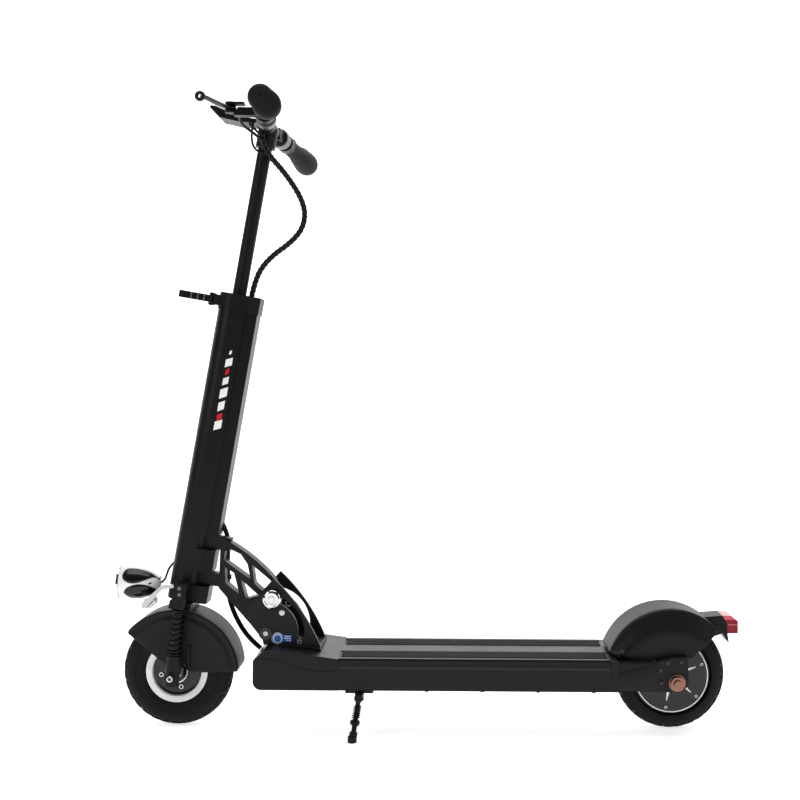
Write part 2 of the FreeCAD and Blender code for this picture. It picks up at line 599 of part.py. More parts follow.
DISPLAY_FACE = FreeCAD.Placement(V(362, 0, 1122.2), FreeCAD.Rotation(V(0, 1, 0), -12))


def make_bars():
    clevis = [box("Clevis", (low, -11, -8), (low + 5, 11, 17), LEFT_BAR) for low in (-10.3, 5.3)]
    pin = cylinder("Clevis_pin", 3, 20, LEFT_BAR.multiply(at(-10, 0, 0, ALONG_X)))
    neck = cylinder("Bar_neck", 12, 8, LEFT_BAR.multiply(at(0, 0, 14)))
    tube = cylinder("Bar_tube", "bar_radius", "bar_length - 14", LEFT_BAR.multiply(at(0, 0, 14)))
    bar = fused("Bar", *clevis, pin, neck, tube)
    node(bar, "left_bar")
    node(mirrored("Bar_right", bar), "right_bar")
    slide = size("bar_radius") + size("fit")
    sleeve = turned("Sleeve", [(slide, 23), (17, 23), (18, 26), (18, 49), (16, 52), (slide, 52)], LEFT_BAR)
    node(sleeve, "left_lock_sleeve")
    node(mirrored("Sleeve_right", sleeve), "right_lock_sleeve")
    tube = size("bar_radius")
    end = size("bar_length") + 5
    grip = turned("Grip", [(tube, 98), (17, 98), (18, 102), ((15.5, 150), (18.5, 190)), (24, 205),
                           ((24, 218), (18, end)), (0, end), (0, end - 5), (tube, end - 5)], LEFT_BAR)
    node(grip, "left_grip")
    node(mirrored("Grip_right", grip), "right_grip")


LEVER = V(339, 138, 1100)
LEVER_TIP = V(371.7, 235, 1095)


def make_brake():
    ring = turned("Perch_ring", [(size("bar_radius"), 70), (17, 70), (17, 94), (size("bar_radius"), 94)],
                  LEFT_BAR)
    arm = box("Perch_arm", (15, -8, 72), (52, 6, 92), LEFT_BAR)
    ears = [cylinder("Perch_ear", 9, 4, at(LEVER.x, LEVER.y, LEVER.z + low)) for low in (-9.3, 5.3)]
    links = [box("Perch_link", (LEVER.x - 24, LEVER.y - 12, LEVER.z + low),
                 (LEVER.x, LEVER.y + 6, LEVER.z + low + 4)) for low in (-9.3, 5.3)]
    pin = cylinder("Perch_pin", 3, 18, at(LEVER.x, LEVER.y, LEVER.z - 9))
    room = box("Lever_room", (LEVER.x - 13, LEVER.y - 14, LEVER.z - 5.3),
               (LEVER.x + 20, LEVER.y + 30, LEVER.z + 5.3))
    perch = fused("Perch", cut("Perch_cut", fused("Perch_solid", ring, arm, *links, *ears), room), pin)
    node(perch, "brake_perch")
    way = LEVER_TIP - LEVER
    turn = FreeCAD.Rotation(way, V(), V(0, 0, 1), "XZY")
    blade = FreeCAD.Placement(LEVER, turn)
    lever = fused("Brake_solid", cylinder("Lever_eye", 9, 10, at(LEVER.x, LEVER.y, LEVER.z - 5)),
                  box("Brake_blade", (0, -5, -4.5), (way.Length, 4, 4.5), blade),
                  cylinder("Brake_ball", 8, 12, blade.multiply(at(way.Length, 0, -6))))
    bore = cylinder("Brake_bore", 3 + size("fit"), 30, at(LEVER.x, LEVER.y, LEVER.z - 15))
    node(cut("Brake_lever", lever, bore), "brake_lever")


def make_throttle():
    tube = size("bar_radius")
    ring = turned("Pod_ring", [(tube, 66), (17, 66), (17, 86), (tube, 86)], LEFT_BAR)
    pod = box("Pod", (14, -26, 67), (52, 6, 85), LEFT_BAR)
    left_pod = cut("Pod_solid", fused("Pod_joined", ring, pod), cylinder("Pod_room", tube, 300, LEFT_BAR))
    node(mirrored("Throttle_pod", left_pod), "throttle_pod")
    paddle = fused("Paddle_solid", cylinder("Paddle_hub", 9, 8, LEFT_BAR.multiply(at(36, -8, 85.4))),
                   box("Paddle_blade", (32, -4, 85.4), (40, 24, 93.4), LEFT_BAR))
    node(mirrored("Paddle", paddle), "throttle_paddle")


# ---------------------------------------------------------------- cables between the bodies
def make_cables():
    harness = ((303, 24, 1084), (303, 23, 1066), (291, 17, 1042), (268, 9, 1017), (248, 3, 990),
               (233, 0, 964), (226, 0, 938), (232, 0, 909), (254, 0, 884), (281, 0, 865),
               (303, 0, 843), (317, 0, 817), (324.3, 0, 785))
    node(cable("Harness", harness, "harness_radius"), "handlebar_harness")
    steer = ((381, -14, 372), (371, -18, 352), (367, -20, 328), (369, -20, 302), (368, -20, 271))
    node(cable("Steer_lead", steer, "lead_radius"), "steering_lead")
    deck = ((368, -20, 270.6), (368, -20, 250), (365, -19, 225), (354, -14, 198), (338, -8, 172),
            (320, -3, 152), (302.6, 0, 138.4))
    node(cable("Deck_lead", deck, "lead_radius"), "deck_lead")


make_deck()
make_front_cap()
frame_bolts = make_rear_casting()
make_rear_wheel()
make_rear_mudguard()
make_kickstand()
frame_bolts.append(make_fold_bracket())
node(pair("Frame_bolts", group("Left_bolts", *frame_bolts)), "frame_bolts")
make_arm()
make_lock_pin()
make_stem()
make_fork()
make_front_wheel()
make_front_mudguard()
make_lamp()
make_post()
make_bars()
make_brake()
make_throttle()
make_cables()
doc.recompute()

# ---------------------------------------------------------------- check and export
for item in doc.Objects:
    if "Invalid" in item.State or "Error" in item.State:
        raise RuntimeError(f"{item.Name} ({item.Label}) failed: {item.getStatusString()}")
for item in nodes:
    if item.Shape.isNull() or not item.Shape.isValid():
        raise RuntimeError(f"{item.Label} has no valid shape")
os.makedirs("parts", exist_ok=True)
for item in nodes:
    item.Shape.exportStep(f"parts/{item.Label}.step")
print(len(nodes), "nodes")
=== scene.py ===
# %% [markdown]
# # A folding electric kick scooter
# The scooter is nearly all black, so what tells one part from the next is the finish. The deck and stem are
# satin powder coat, the guards are moulded plastic, the tyres and grips are rubber and a few bolts are
# bright metal. The exact solids come in first, already in their places and in metres, with X forward, Y to
# the rider's left and Z up. Softer shapes that a plain solid can't show are then built round them.

# %% The frame, and the helpers that every step uses
import math

import bmesh
import bpy
from mathutils import Matrix, Vector


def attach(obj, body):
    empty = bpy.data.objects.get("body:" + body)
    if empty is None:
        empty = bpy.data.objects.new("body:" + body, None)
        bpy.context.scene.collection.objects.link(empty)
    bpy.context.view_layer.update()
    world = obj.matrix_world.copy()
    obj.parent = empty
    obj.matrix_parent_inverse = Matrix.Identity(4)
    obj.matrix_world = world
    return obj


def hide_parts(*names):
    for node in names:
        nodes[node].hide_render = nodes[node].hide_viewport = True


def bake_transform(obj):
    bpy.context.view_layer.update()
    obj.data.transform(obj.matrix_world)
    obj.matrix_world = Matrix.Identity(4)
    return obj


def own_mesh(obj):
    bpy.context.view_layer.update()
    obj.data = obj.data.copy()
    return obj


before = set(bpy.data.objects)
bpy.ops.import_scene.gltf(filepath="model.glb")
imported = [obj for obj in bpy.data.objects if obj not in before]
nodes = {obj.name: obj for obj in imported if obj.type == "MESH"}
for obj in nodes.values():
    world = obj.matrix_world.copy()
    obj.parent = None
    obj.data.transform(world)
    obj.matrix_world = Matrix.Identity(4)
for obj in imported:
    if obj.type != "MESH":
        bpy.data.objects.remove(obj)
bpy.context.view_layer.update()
MM = 0.001


def mm(*numbers):
    """A point given in millimetres, as a vector in metres."""
    return Vector(numbers) * MM


def axes(origin, x, y, z):
    """A matrix that takes a part's own axes to the scooter's. Origin is in millimetres."""
    m = Matrix((x, y, z)).transposed().to_4x4()
    m.translation = mm(*origin)
    return m


# %% [markdown]
# ## Camera, floor and light
# Floor and wall glow white, and large soft lamps make the pale streaks that show how a surface curves. A
# black finish would turn grey in so white a room, so the finishes below reflect little. The camera looks
# square on at the left side from just over two metres, at about half the scooter's height, so the deck's
# top is seen as a thin band.

# %% Camera
camera = bpy.data.objects.new("Camera", bpy.data.cameras.new("Camera"))
bpy.context.scene.collection.objects.link(camera)
CAMERA_PLACE, CAMERA_ROLL = mm(-36.8, 2100, 638.8), math.radians(0.4)
camera.matrix_world = (Matrix.Translation(CAMERA_PLACE) @ Matrix.Rotation(math.pi, 4, "Z")
                       @ Matrix.Rotation(math.pi / 2, 4, "X") @ Matrix.Rotation(CAMERA_ROLL, 4, "Z"))
camera.data.lens = 51.36
camera.data.sensor_width = 36
camera.data.shift_x = -0.059
camera.data.shift_y = -0.0281
camera.data.clip_end = 50
bpy.context.scene.camera = camera
print("camera at", [round(c, 3) for c in camera.location])


# %% Plain materials for the room, then the floor, the backdrop and the lamps
def plain(name, colour, glow=0.0):
    material = bpy.data.materials.new(name)
    material.use_nodes = True
    shader = material.node_tree.nodes["Principled BSDF"]
    shader.inputs["Base Color"].default_value = (*colour, 1)
    shader.inputs["Roughness"].default_value = 0.9
    shader.inputs["Emission Color"].default_value = (1, 1, 1, 1)
    shader.inputs["Emission Strength"].default_value = glow
    return material


def mesh_object(name, bm):
    mesh = bpy.data.meshes.new(name)
    bm.to_mesh(mesh)
    bm.free()
    thing = bpy.data.objects.new(name, mesh)
    bpy.context.scene.collection.objects.link(thing)
    return thing


bm = bmesh.new()
bmesh.ops.create_grid(bm, x_segments=2, y_segments=2, size=9)
floor = mesh_object("studio_floor", bm)
floor.data.materials.append(plain("studio_white", (0.9, 0.9, 0.9), 0.72))
bm = bmesh.new()
bmesh.ops.create_grid(bm, x_segments=1, y_segments=1, size=9,
                      matrix=Matrix.Translation((0, -3.5, 0)) @ Matrix.Rotation(math.pi / 2, 4, "X"))
wall = mesh_object("studio_wall", bm)
wall.data.materials.append(plain("studio_wall_white", (0.9, 0.9, 0.9), 1.0))


def softbox(name, place, target, size, power):
    lamp = bpy.data.lights.new(name, "AREA")
    lamp.shape = "RECTANGLE"
    lamp.size, lamp.size_y = size
    lamp.energy = power
    thing = bpy.data.objects.new(name, lamp)
    bpy.context.scene.collection.objects.link(thing)
    thing.location = place
    thing.rotation_euler = (Vector(target) - Vector(place)).to_track_quat("-Z", "Y").to_euler()
    return thing


softbox("top_light", (0.0, 0.2, 3.0), (0, 0, 0.3), (2.6, 2.0), 56)
softbox("front_light", (2.2, 2.0, 1.6), (0.2, 0, 0.5), (0.9, 1.8), 18)
softbox("rear_light", (-2.6, 1.6, 1.3), (-0.2, 0, 0.4), (0.9, 1.6), 9)
world = bpy.data.worlds.new("room")
bpy.context.scene.world = world
world.use_nodes = True
world.node_tree.nodes["Background"].inputs["Color"].default_value = (0.5, 0.5, 0.5, 1)
world.node_tree.nodes["Background"].inputs["Strength"].default_value = 0.12
bpy.context.scene.view_settings.view_transform = "Standard"
print("lamps: 3, room grey: 0.12")

# %% [markdown]
# ## Finishes
# Powder coat has a fine orange-peel skin, moulded plastic a fine texture, and rubber a coarser one. All
# three are the same effect at another size, so it is one node group, "Fine skin", that puts out a normal.
# Handling leaves faint patches that are a little shinier than the rest. That is a second group, "Handling",
# which puts out a roughness and a shade. Both read Object coordinates, which a real surface carries along
# when it moves.


# %% The two shared effects
def new_group(name, inputs, outputs):
    group = bpy.data.node_groups.new(name, "ShaderNodeTree")
    for label, default in inputs:
        item = group.interface.new_socket(name=label, in_out="INPUT", socket_type="NodeSocketFloat")
        item.default_value = default
    for label, kind in outputs:
        group.interface.new_socket(name=label, in_out="OUTPUT", socket_type=kind)
    return group, group.nodes.new("NodeGroupInput"), group.nodes.new("NodeGroupOutput")


skin, given, result = new_group("Fine skin", [("Size", 600.0), ("Depth", 0.1)],
                                [("Normal", "NodeSocketVector")])
place = skin.nodes.new("ShaderNodeTexCoord")
noise = skin.nodes.new("ShaderNodeTexNoise")
noise.inputs["Detail"].default_value = 3
bump = skin.nodes.new("ShaderNodeBump")
bump.inputs["Distance"].default_value = 0.0006
for a, b in ((place.outputs["Object"], noise.inputs["Vector"]),
             (given.outputs["Size"], noise.inputs["Scale"]),
             (noise.outputs["Fac"], bump.inputs["Height"]), (given.outputs["Depth"], bump.inputs["Strength"]),
             (bump.outputs["Normal"], result.inputs["Normal"])):
    skin.links.new(a, b)

handling, given, result = new_group(
    "Handling", [("Roughness", 0.5), ("Spread", 0.1), ("Size", 9.0)],
    [("Roughness", "NodeSocketFloat"), ("Shade", "NodeSocketFloat")])
place = handling.nodes.new("ShaderNodeTexCoord")
patches = handling.nodes.new("ShaderNodeTexNoise")
patches.inputs["Detail"].default_value = 5
centred = handling.nodes.new("ShaderNodeMath")
centred.operation = "SUBTRACT"
centred.inputs[1].default_value = 0.5
rough = handling.nodes.new("ShaderNodeMath")
rough.operation = "MULTIPLY_ADD"
shade = handling.nodes.new("ShaderNodeMath")
shade.operation = "MULTIPLY_ADD"
shade.inputs[1].default_value = 0.5
shade.inputs[2].default_value = 1.0
for a, b in ((place.outputs["Object"], patches.inputs["Vector"]),
             (given.outputs["Size"], patches.inputs["Scale"]),
             (patches.outputs["Fac"], centred.inputs[0]), (centred.outputs[0], rough.inputs[0]),
             (given.outputs["Spread"], rough.inputs[1]), (given.outputs["Roughness"], rough.inputs[2]),
             (centred.outputs[0], shade.inputs[0]), (rough.outputs[0], result.inputs["Roughness"]),
             (shade.outputs[0], result.inputs["Shade"])):
    handling.links.new(a, b)
print("groups:", skin.name, "and", handling.name)


# %% A maker for each finish
def finish(name, colour, roughness, metallic=0.0, size=900, depth=0.12, spread=0.15, coat=0.0, mask=None):
    """A finish from the two groups. mask is (second colour, a function that builds the mask in the tree)."""
    material = bpy.data.materials.new(name)
    material.use_nodes = True
    tree = material.node_tree
    shader = tree.nodes["Principled BSDF"]
    shader.inputs["Metallic"].default_value = metallic
    shader.inputs["Coat Weight"].default_value = coat
    shader.inputs["Specular IOR Level"].default_value = 0.15 if metallic == 0 else 0.5
    shader.inputs["Coat Roughness"].default_value = 0.12
    fine = tree.nodes.new("ShaderNodeGroup")
    fine.node_tree = skin
    fine.inputs["Size"].default_value = size
    fine.inputs["Depth"].default_value = depth
    tree.links.new(fine.outputs["Normal"], shader.inputs["Normal"])
    use = tree.nodes.new("ShaderNodeGroup")
    use.node_tree = handling
    use.inputs["Roughness"].default_value = roughness
    use.inputs["Spread"].default_value = spread
    tree.links.new(use.outputs["Roughness"], shader.inputs["Roughness"])
    tint = tree.nodes.new("ShaderNodeMix")
    tint.data_type = "RGBA"
    tint.blend_type = "MULTIPLY"
    tint.inputs["Factor"].default_value = 1
    colours = [s for s in tint.inputs if s.type == "RGBA"]
    colours[0].default_value = (*colour, 1)
    tree.links.new(use.outputs["Shade"], colours[1])
    tree.links.new([s for s in tint.outputs if s.type == "RGBA"][0], shader.inputs["Base Color"])
    if mask:
        second, build = mask
        pick = tree.nodes.new("ShaderNodeMix")
        pick.data_type = "RGBA"
        sides = [s for s in pick.inputs if s.type == "RGBA"]
        sides[0].default_value = (*colour, 1)
        sides[1].default_value = (*second, 1)
        tree.links.new(build(tree), pick.inputs["Factor"])
        tree.links.new([s for s in pick.outputs if s.type == "RGBA"][0], colours[0])
    return material


coat_black = finish("satin_powder_coat", (0.006, 0.006, 0.0066), 0.42, size=1400, depth=0.10, spread=0.12)
cast_black = finish("cast_arm_black", (0.011, 0.011, 0.012), 0.38, size=900, depth=0.15)
steel_black = finish("black_painted_steel", (0.005, 0.005, 0.0055), 0.34, size=1100, depth=0.08)
guard_black = finish("moulded_guard_plastic", (0.009, 0.009, 0.0096), 0.44, size=1800, depth=0.10)
plastic_black = finish("moulded_black_plastic", (0.006, 0.006, 0.0066), 0.4, size=1700, depth=0.12)
grip_rubber = finish("grip_rubber", (0.009, 0.009, 0.0096), 0.62, size=2200, depth=0.25)
strip_rubber = finish("deck_strip_rubber", (0.0035, 0.0035, 0.0038), 0.8, size=1500, depth=0.5)
tyre_black = finish("tyre_rubber", (0.006, 0.006, 0.0063), 0.62, size=1300, depth=0.25)
sheath_black = finish("cable_sheath", (0.006, 0.006, 0.0065), 0.26, size=700, depth=0.1)
land_black = finish("anodised_deck", (0.009, 0.009, 0.0096), 0.36, size=1300, depth=0.10)
bright_steel = finish("zinc_steel", (0.46, 0.46, 0.47), 0.24, metallic=1, size=500, depth=0.06)
chrome = finish("chrome", (0.60, 0.60, 0.61), 0.08, metallic=1, size=300, depth=0.02, spread=0.05)
bent_steel = finish("bent_lamp_steel", (0.42, 0.42, 0.43), 0.22, metallic=1, size=500, depth=0.05)
dull_bolt = finish("dark_bolt_steel", (0.16, 0.16, 0.165), 0.35, metallic=1, size=600, depth=0.08)
sleeve_grey = finish("grey_anodised_sleeve", (0.10, 0.103, 0.107), 0.38, metallic=1, size=900, depth=0.06)
copper = finish("copper_plating", (0.24, 0.12, 0.095), 0.34, metallic=1, size=500, depth=0.08)
white_paint = finish("white_paint", (0.86, 0.86, 0.86), 0.35, size=900, depth=0.03, spread=0.05)
white_gloss = finish("white_lamp_shell", (0.88, 0.88, 0.89), 0.16, size=400, depth=0.02, coat=0.6)
gloss_black = finish("gloss_black_insert", (0.005, 0.005, 0.0055), 0.2, size=500, depth=0.03, coat=0.4)
red_paint = finish("red_accent", (0.55, 0.015, 0.02), 0.35, size=900, depth=0.03)
blue_paint = finish("blue_label", (0.03, 0.13, 0.45), 0.3, size=900, depth=0.02)
print("finishes:", sum(m.use_nodes for m in bpy.data.materials))


# %% Clear and red lenses
def lens(name, colour, roughness, through):
    material = bpy.data.materials.new(name)
    material.use_nodes = True
    tree = material.node_tree
    shader = tree.nodes["Principled BSDF"]
    shader.inputs["Base Color"].default_value = (*colour, 1)
    shader.inputs["Roughness"].default_value = roughness
    shader.inputs["Transmission Weight"].default_value = through
    shader.inputs["IOR"].default_value = 1.49
    fine = tree.nodes.new("ShaderNodeGroup")
    fine.node_tree = skin
    fine.inputs["Size"].default_value = 160
    fine.inputs["Depth"].default_value = 0.05
    tree.links.new(fine.outputs["Normal"], shader.inputs["Normal"])
    return material


def bands(tree):
    """1 on the tail lens's pale upper band and on the thin line across its middle, 0 elsewhere."""
    place = tree.nodes.new("ShaderNodeTexCoord")
    split = tree.nodes.new("ShaderNodeSeparateXYZ")
    tree.links.new(place.outputs["Object"], split.inputs[0])
    above, line, either = (tree.nodes.new("ShaderNodeMath") for _ in range(3))
    above.operation, line.operation, either.operation = "GREATER_THAN", "COMPARE", "MAXIMUM"
    above.inputs[1].default_value = 0.2015
    line.inputs[1].default_value = 0.1925
    line.inputs[2].default_value = 0.0009
    for i, node in enumerate((above, line)):
        tree.links.new(split.outputs["Z"], node.inputs[0])
        tree.links.new(node.outputs[0], either.inputs[i])
    return either.outputs[0]


clear_lens = lens("clear_lamp_lens", (0.95, 0.96, 0.97), 0.04, 1.0)
red_lens = finish("red_moulded_lens", (0.22, 0.003, 0.012), 0.14, size=300, depth=0.04, coat=0.15,
                  mask=((0.62, 0.10, 0.14), bands))
print("lenses: clear and red")


# %% The stem's rear third is flat and turned away from the lamps, so its shade is painted in as a deeper black
def painted_shade_rear_third(tree):
    """1 behind the line down the stem's side, where the shade is painted, 0 in front of it."""
    place = tree.nodes.new("ShaderNodeTexCoord")
    across = tree.nodes.new("ShaderNodeVectorMath")
    across.operation = "DOT_PRODUCT"
    across.inputs[1].default_value = (0.986, 0, 0.16677)
    behind = tree.nodes.new("ShaderNodeMath")
    behind.operation = "LESS_THAN"
    behind.inputs[1].default_value = 0.480 * 0.986 - 0.0215
    tree.links.new(place.outputs["Object"], across.inputs[0])
    tree.links.new(across.outputs["Value"], behind.inputs[0])
    return behind.outputs[0]


# The stem's base black is its real coat. The darker second colour on the rear third is painted shade.
stem_black = finish("stem_powder_coat_and_painted_shade", (0.007, 0.007, 0.0076), 0.36, size=1400, depth=0.08, spread=0.08,
                    mask=((0.0025, 0.0025, 0.0028), painted_shade_rear_third))
print("stem finish:", stem_black.name)

# %% Every solid gets its finish
WEARS = (
    (stem_black, "stem_shell"),
    (coat_black, "stem_collar sliding_post handlebar_clamp left_bar right_bar brake_perch"),
    (land_black, "deck_shell deck_front_cap rear_casting bottom_cover"),
    (cast_black, "fold_arm fold_bracket"),
    (steel_black, "fork_crown fork_legs front_axle kickstand_mount kickstand_leg fork_springs brake_lever "
                  "clamp_lever"),
    (guard_black, "front_mudguard rear_mudguard"),
    (plastic_black, "tail_light_housing display throttle_pod throttle_paddle motor_controller battery_pack "
                    "charge_socket"),
    (grip_rubber, "left_grip right_grip kickstand_foot"),
    (strip_rubber, "grip_strips"),
    (tyre_black, "front_tyre rear_tyre"),
    (sheath_black, "handlebar_harness steering_lead deck_lead lamp_lead"),
    (bright_steel, "lock_pin head_bearings front_bearings motor_bearings"),
    (dull_bolt, "motor_rotor motor_stator"),
    (gloss_black, "front_rim motor_covers cover_screws frame_bolts fold_pivot_bolt"),
    (copper, "rear_axle_nuts motor_axle"),
    (sleeve_grey, "left_lock_sleeve right_lock_sleeve"),
    (bent_steel, "lamp_bracket"),
    (white_gloss, "lamp_body"),
    (clear_lens, "lamp_lens"),
    (red_lens, "tail_light_lens"),
    (red_paint, "power_button"),
)
for material, names in WEARS:
    for name in names.split():
        nodes[name].data.materials.clear()
        nodes[name].data.materials.append(material)
print("finished solids:", sum(len(names.split()) for _, names in WEARS), "of", len(nodes))


# %% Helpers for new pieces
def dress(thing, material, body=None, stands_for=(), sharp=35):
    """Finishes a new piece: smooth shading, material, the solids it stands for and the body it moves with."""
    thing.data.shade_smooth()
    thing.data.set_sharp_from_angle(angle=math.radians(sharp))
    if not thing.data.materials:
        thing.data.materials.append(material)
    if stands_for:
        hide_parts(*stands_for)
    if body:
        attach(thing, body)
    return thing


def tidy(bm):
    """Merges doubles, then turns every face outwards."""
    bmesh.ops.remove_doubles(bm, verts=bm.verts, dist=1e-6)
    bmesh.ops.recalc_face_normals(bm, faces=bm.faces)
    return bm


def turned(profile, place, steps=64, bm=None):
    """A lathe-turned shape. profile is (radius, height) pairs in millimetres, turned about Z of place."""
    bm = bm or bmesh.new()
    rim = [bm.verts.new(mm(radius, 0, height)) for radius, height in profile]
    edges = [bm.edges.new(pair) for pair in zip(rim, rim[1:])]
    bmesh.ops.spin(bm, geom=rim + edges, cent=(0, 0, 0), axis=(0, 0, 1), angle=math.tau, steps=steps,
                   use_merge=True)
    fresh = set()
    queue = list(rim)
    while queue:
        v = queue.pop()
        if v not in fresh:
            fresh.add(v)
            queue += [e.other_vert(v) for e in v.link_edges]
    bmesh.ops.transform(bm, matrix=place, verts=list(fresh))
    return bm


def facing(x, y, z, out=1):
    """Axes at a point, with Z towards the rider's left, or the right where out is -1."""
    return axes((x, y, z), Vector((1, 0, 0)), Vector((0, 0, -out)), Vector((0, out, 0)))


def button(reach, high):
    """The half section of a low round head, standing on a face."""
    return [(0, high), (reach * 0.8, high), (reach * 0.95, high * 0.8), (reach, 0), (reach, -0.8), (0, -0.8)]


def bridge(bm, rings):
    """Joins each ring of a loft to the next and closes both ends. Returns the last end's faces."""
    for ring, following in zip(rings, rings[1:]):
        edges = {e for r in (ring, following) for v in r for e in v.link_edges
                 if e.verts[0] in r and e.verts[1] in r}
        bmesh.ops.bridge_loops(bm, edges=list(edges))
    bmesh.ops.contextual_create(bm, geom=rings[0])
    return bmesh.ops.contextual_create(bm, geom=rings[-1])["faces"]


def raised(bm, corners, rise):
    """A flat face on the corners, pulled up into a thin slab."""
    flat = bm.faces.new([bm.verts.new(corner) for corner in corners])
    lifted = bmesh.ops.extrude_face_region(bm, geom=[flat])["geom"]
    bmesh.ops.translate(bm, vec=rise, verts=[v for v in lifted if isinstance(v, bmesh.types.BMVert)])


def slab(bm, centre, size):
    """A box of one size, both in millimetres."""
    verts = bmesh.ops.create_cube(bm, size=1)["verts"]
    bmesh.ops.scale(bm, vec=mm(*size), verts=verts)
    bmesh.ops.translate(bm, vec=mm(*centre), verts=verts)
    return verts


def thicken(thing, wall):
    """Gives a sheet its wall, inwards, in millimetres."""
    solid = thing.modifiers.new("wall", "SOLIDIFY")
    solid.thickness = wall * MM
    solid.offset = -1


def soften(thing):
    rounding = thing.modifiers.new("smooth", "SUBSURF")
    rounding.levels = rounding.render_levels = 1


SIDES = ((1, "left"), (-1, "right"))
FRONT_WHEEL = facing(452, 0, 100)
REAR_WHEEL = facing(-448, 0, 100)
print("helpers ready")

# %% [markdown]
# ## Held cables
# Four cables run outside the tubes: the spiral-wrapped bundle from the handlebar, the thicker lead behind
# the stem, the lead down to the deck and the thin headlight lead. Each is held at both ends, so it is a
# tube swept along one smooth curve. A bundle in spiral wrap isn't round: the wrap makes a ridge that winds
# along it, so the rings that the tube is bridged from are swollen where the ridge passes.

# %% Curves and tubes
ROUTES = {
    "handlebar_harness": ((303, 24, 1084), (303, 23, 1066), (291, 17, 1042), (268, 9, 1017), (248, 3, 990),
                          (233, 0, 964), (226, 0, 938), (232, 0, 909), (254, 0, 884), (281, 0, 865),
                          (303, 0, 843), (317, 0, 817), (324.3, 0, 785)),
    "steering_lead": ((381, -14, 372), (371, -18, 352), (367, -20, 328), (369, -20, 302), (368, -20, 271)),
    "deck_lead": ((368, -20, 270.6), (368, -20, 250), (365, -19, 225), (354, -14, 198), (338, -8, 172),
                  (320, -3, 152), (302.6, 0, 138.4)),
    "lamp_lead": ((486.4, 0, 258), (480, 0, 263), (476.5, 0, 273), (473, 0, 284), (466, 0, 293),
                  (459, 0, 299)),
}


def path_points(points, resolution=12):
    """The smooth line through a cord's control points, read back from the curve itself."""
    data = bpy.data.curves.new("path", "CURVE")
    data.dimensions = "3D"
    data.resolution_u = resolution
    spline = data.splines.new("NURBS")
    spline.points.add(len(points) - 1)
    for target, point in zip(spline.points, points):
        target.co = (*mm(*point), 1)
    spline.order_u = 3
    spline.use_endpoint_u = True
    holder = bpy.data.objects.new("path", data)
    bpy.context.scene.collection.objects.link(holder)
    line = bpy.data.meshes.new_from_object(holder)
    found = [v.co.copy() for v in line.vertices]
    bpy.data.objects.remove(holder)
    return found


def tube(points, radius, sides=16, ridge=0.0, pitch=9.0, bm=None, taper=None):
    """A tube through points in metres. radius and the ridge of its spiral wrap are in millimetres."""
    bm = bm or bmesh.new()
    rings, along, previous, side = [], 0.0, None, Vector((0, 1, 0))
    for i, point in enumerate(points):
        ahead = (points[min(i + 1, len(points) - 1)] - points[max(i - 1, 0)]).normalized()
        side = (side - ahead * side.dot(ahead)).normalized()
        along += (point - previous).length if previous else 0
        previous = point
        place = axes((0, 0, 0), side, ahead.cross(side), ahead)
        place.translation = point
        size = radius * (taper(i / (len(points) - 1)) if taper else 1)
        ring = bmesh.ops.create_circle(bm, segments=sides, radius=size * MM, matrix=place)["verts"]
        if ridge:
            for k, v in enumerate(ring):
                turn = math.tau * (k / sides - along / (pitch * MM))
                v.co += (v.co - point).normalized() * ridge * MM * max(0, math.cos(turn)) ** 3
        rings.append(ring)
    bridge(bm, rings)
    return bm


def resample(points, step):
    """The same line with points a fixed step apart, in metres."""
    out, left = [points[0]], step
    for a, b in zip(points, points[1:]):
        gap = (b - a).length
        while gap > left:
            a = a.lerp(b, left / gap)
            out.append(a)
            gap, left = (b - a).length, step
        left -= gap
    return out + [points[-1]]


def held_cable(node, radius, ridge=0.0, step=2.5):
    bm = tidy(tube(resample(path_points(ROUTES[node]), step * MM), radius, ridge=ridge))
    cable = dress(mesh_object(node + "_wrapped", bm), sheath_black, stands_for=(node,))
    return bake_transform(cable)


held_cable("handlebar_harness", 4.9, ridge=1.3, step=1.6)
held_cable("steering_lead", 4.5)
held_cable("deck_lead", 4.5)
held_cable("lamp_lead", 2)
print("held cables:", len(ROUTES))

# %% [markdown]
# ## Tyres and wheels
# A small scooter tyre has a round crown with grooves round it, short cuts across its shoulders and a smooth
# side wall with a fine rib. It could be carved, but a tyre repeats, so its cross-section is spun round the
# axle and the tread blocks are the faces between the grooves, pushed out together. The front rim is a cast
# disc with a wide white band. The rear one is a hub motor, whose black cover carries a thin white ring,
# bolts and dashes.

# %% Tyres
TREAD_PROFILE = ((56, 19.5), (60, 22.5), (66, 24.2), (72, 25), (74, 25.1), (74.6, 24.4), (75.4, 24.4),
                 (76, 25), (82, 24.4), (87, 22.6), (91, 20), (92, 18.6), (94.3, 16.2), (94.6, 15.2),
                 (96.4, 11.5), (96.6, 10.2), (97.9, 7), (98.2, 5.6), (98.6, 2), (98.6, 0))


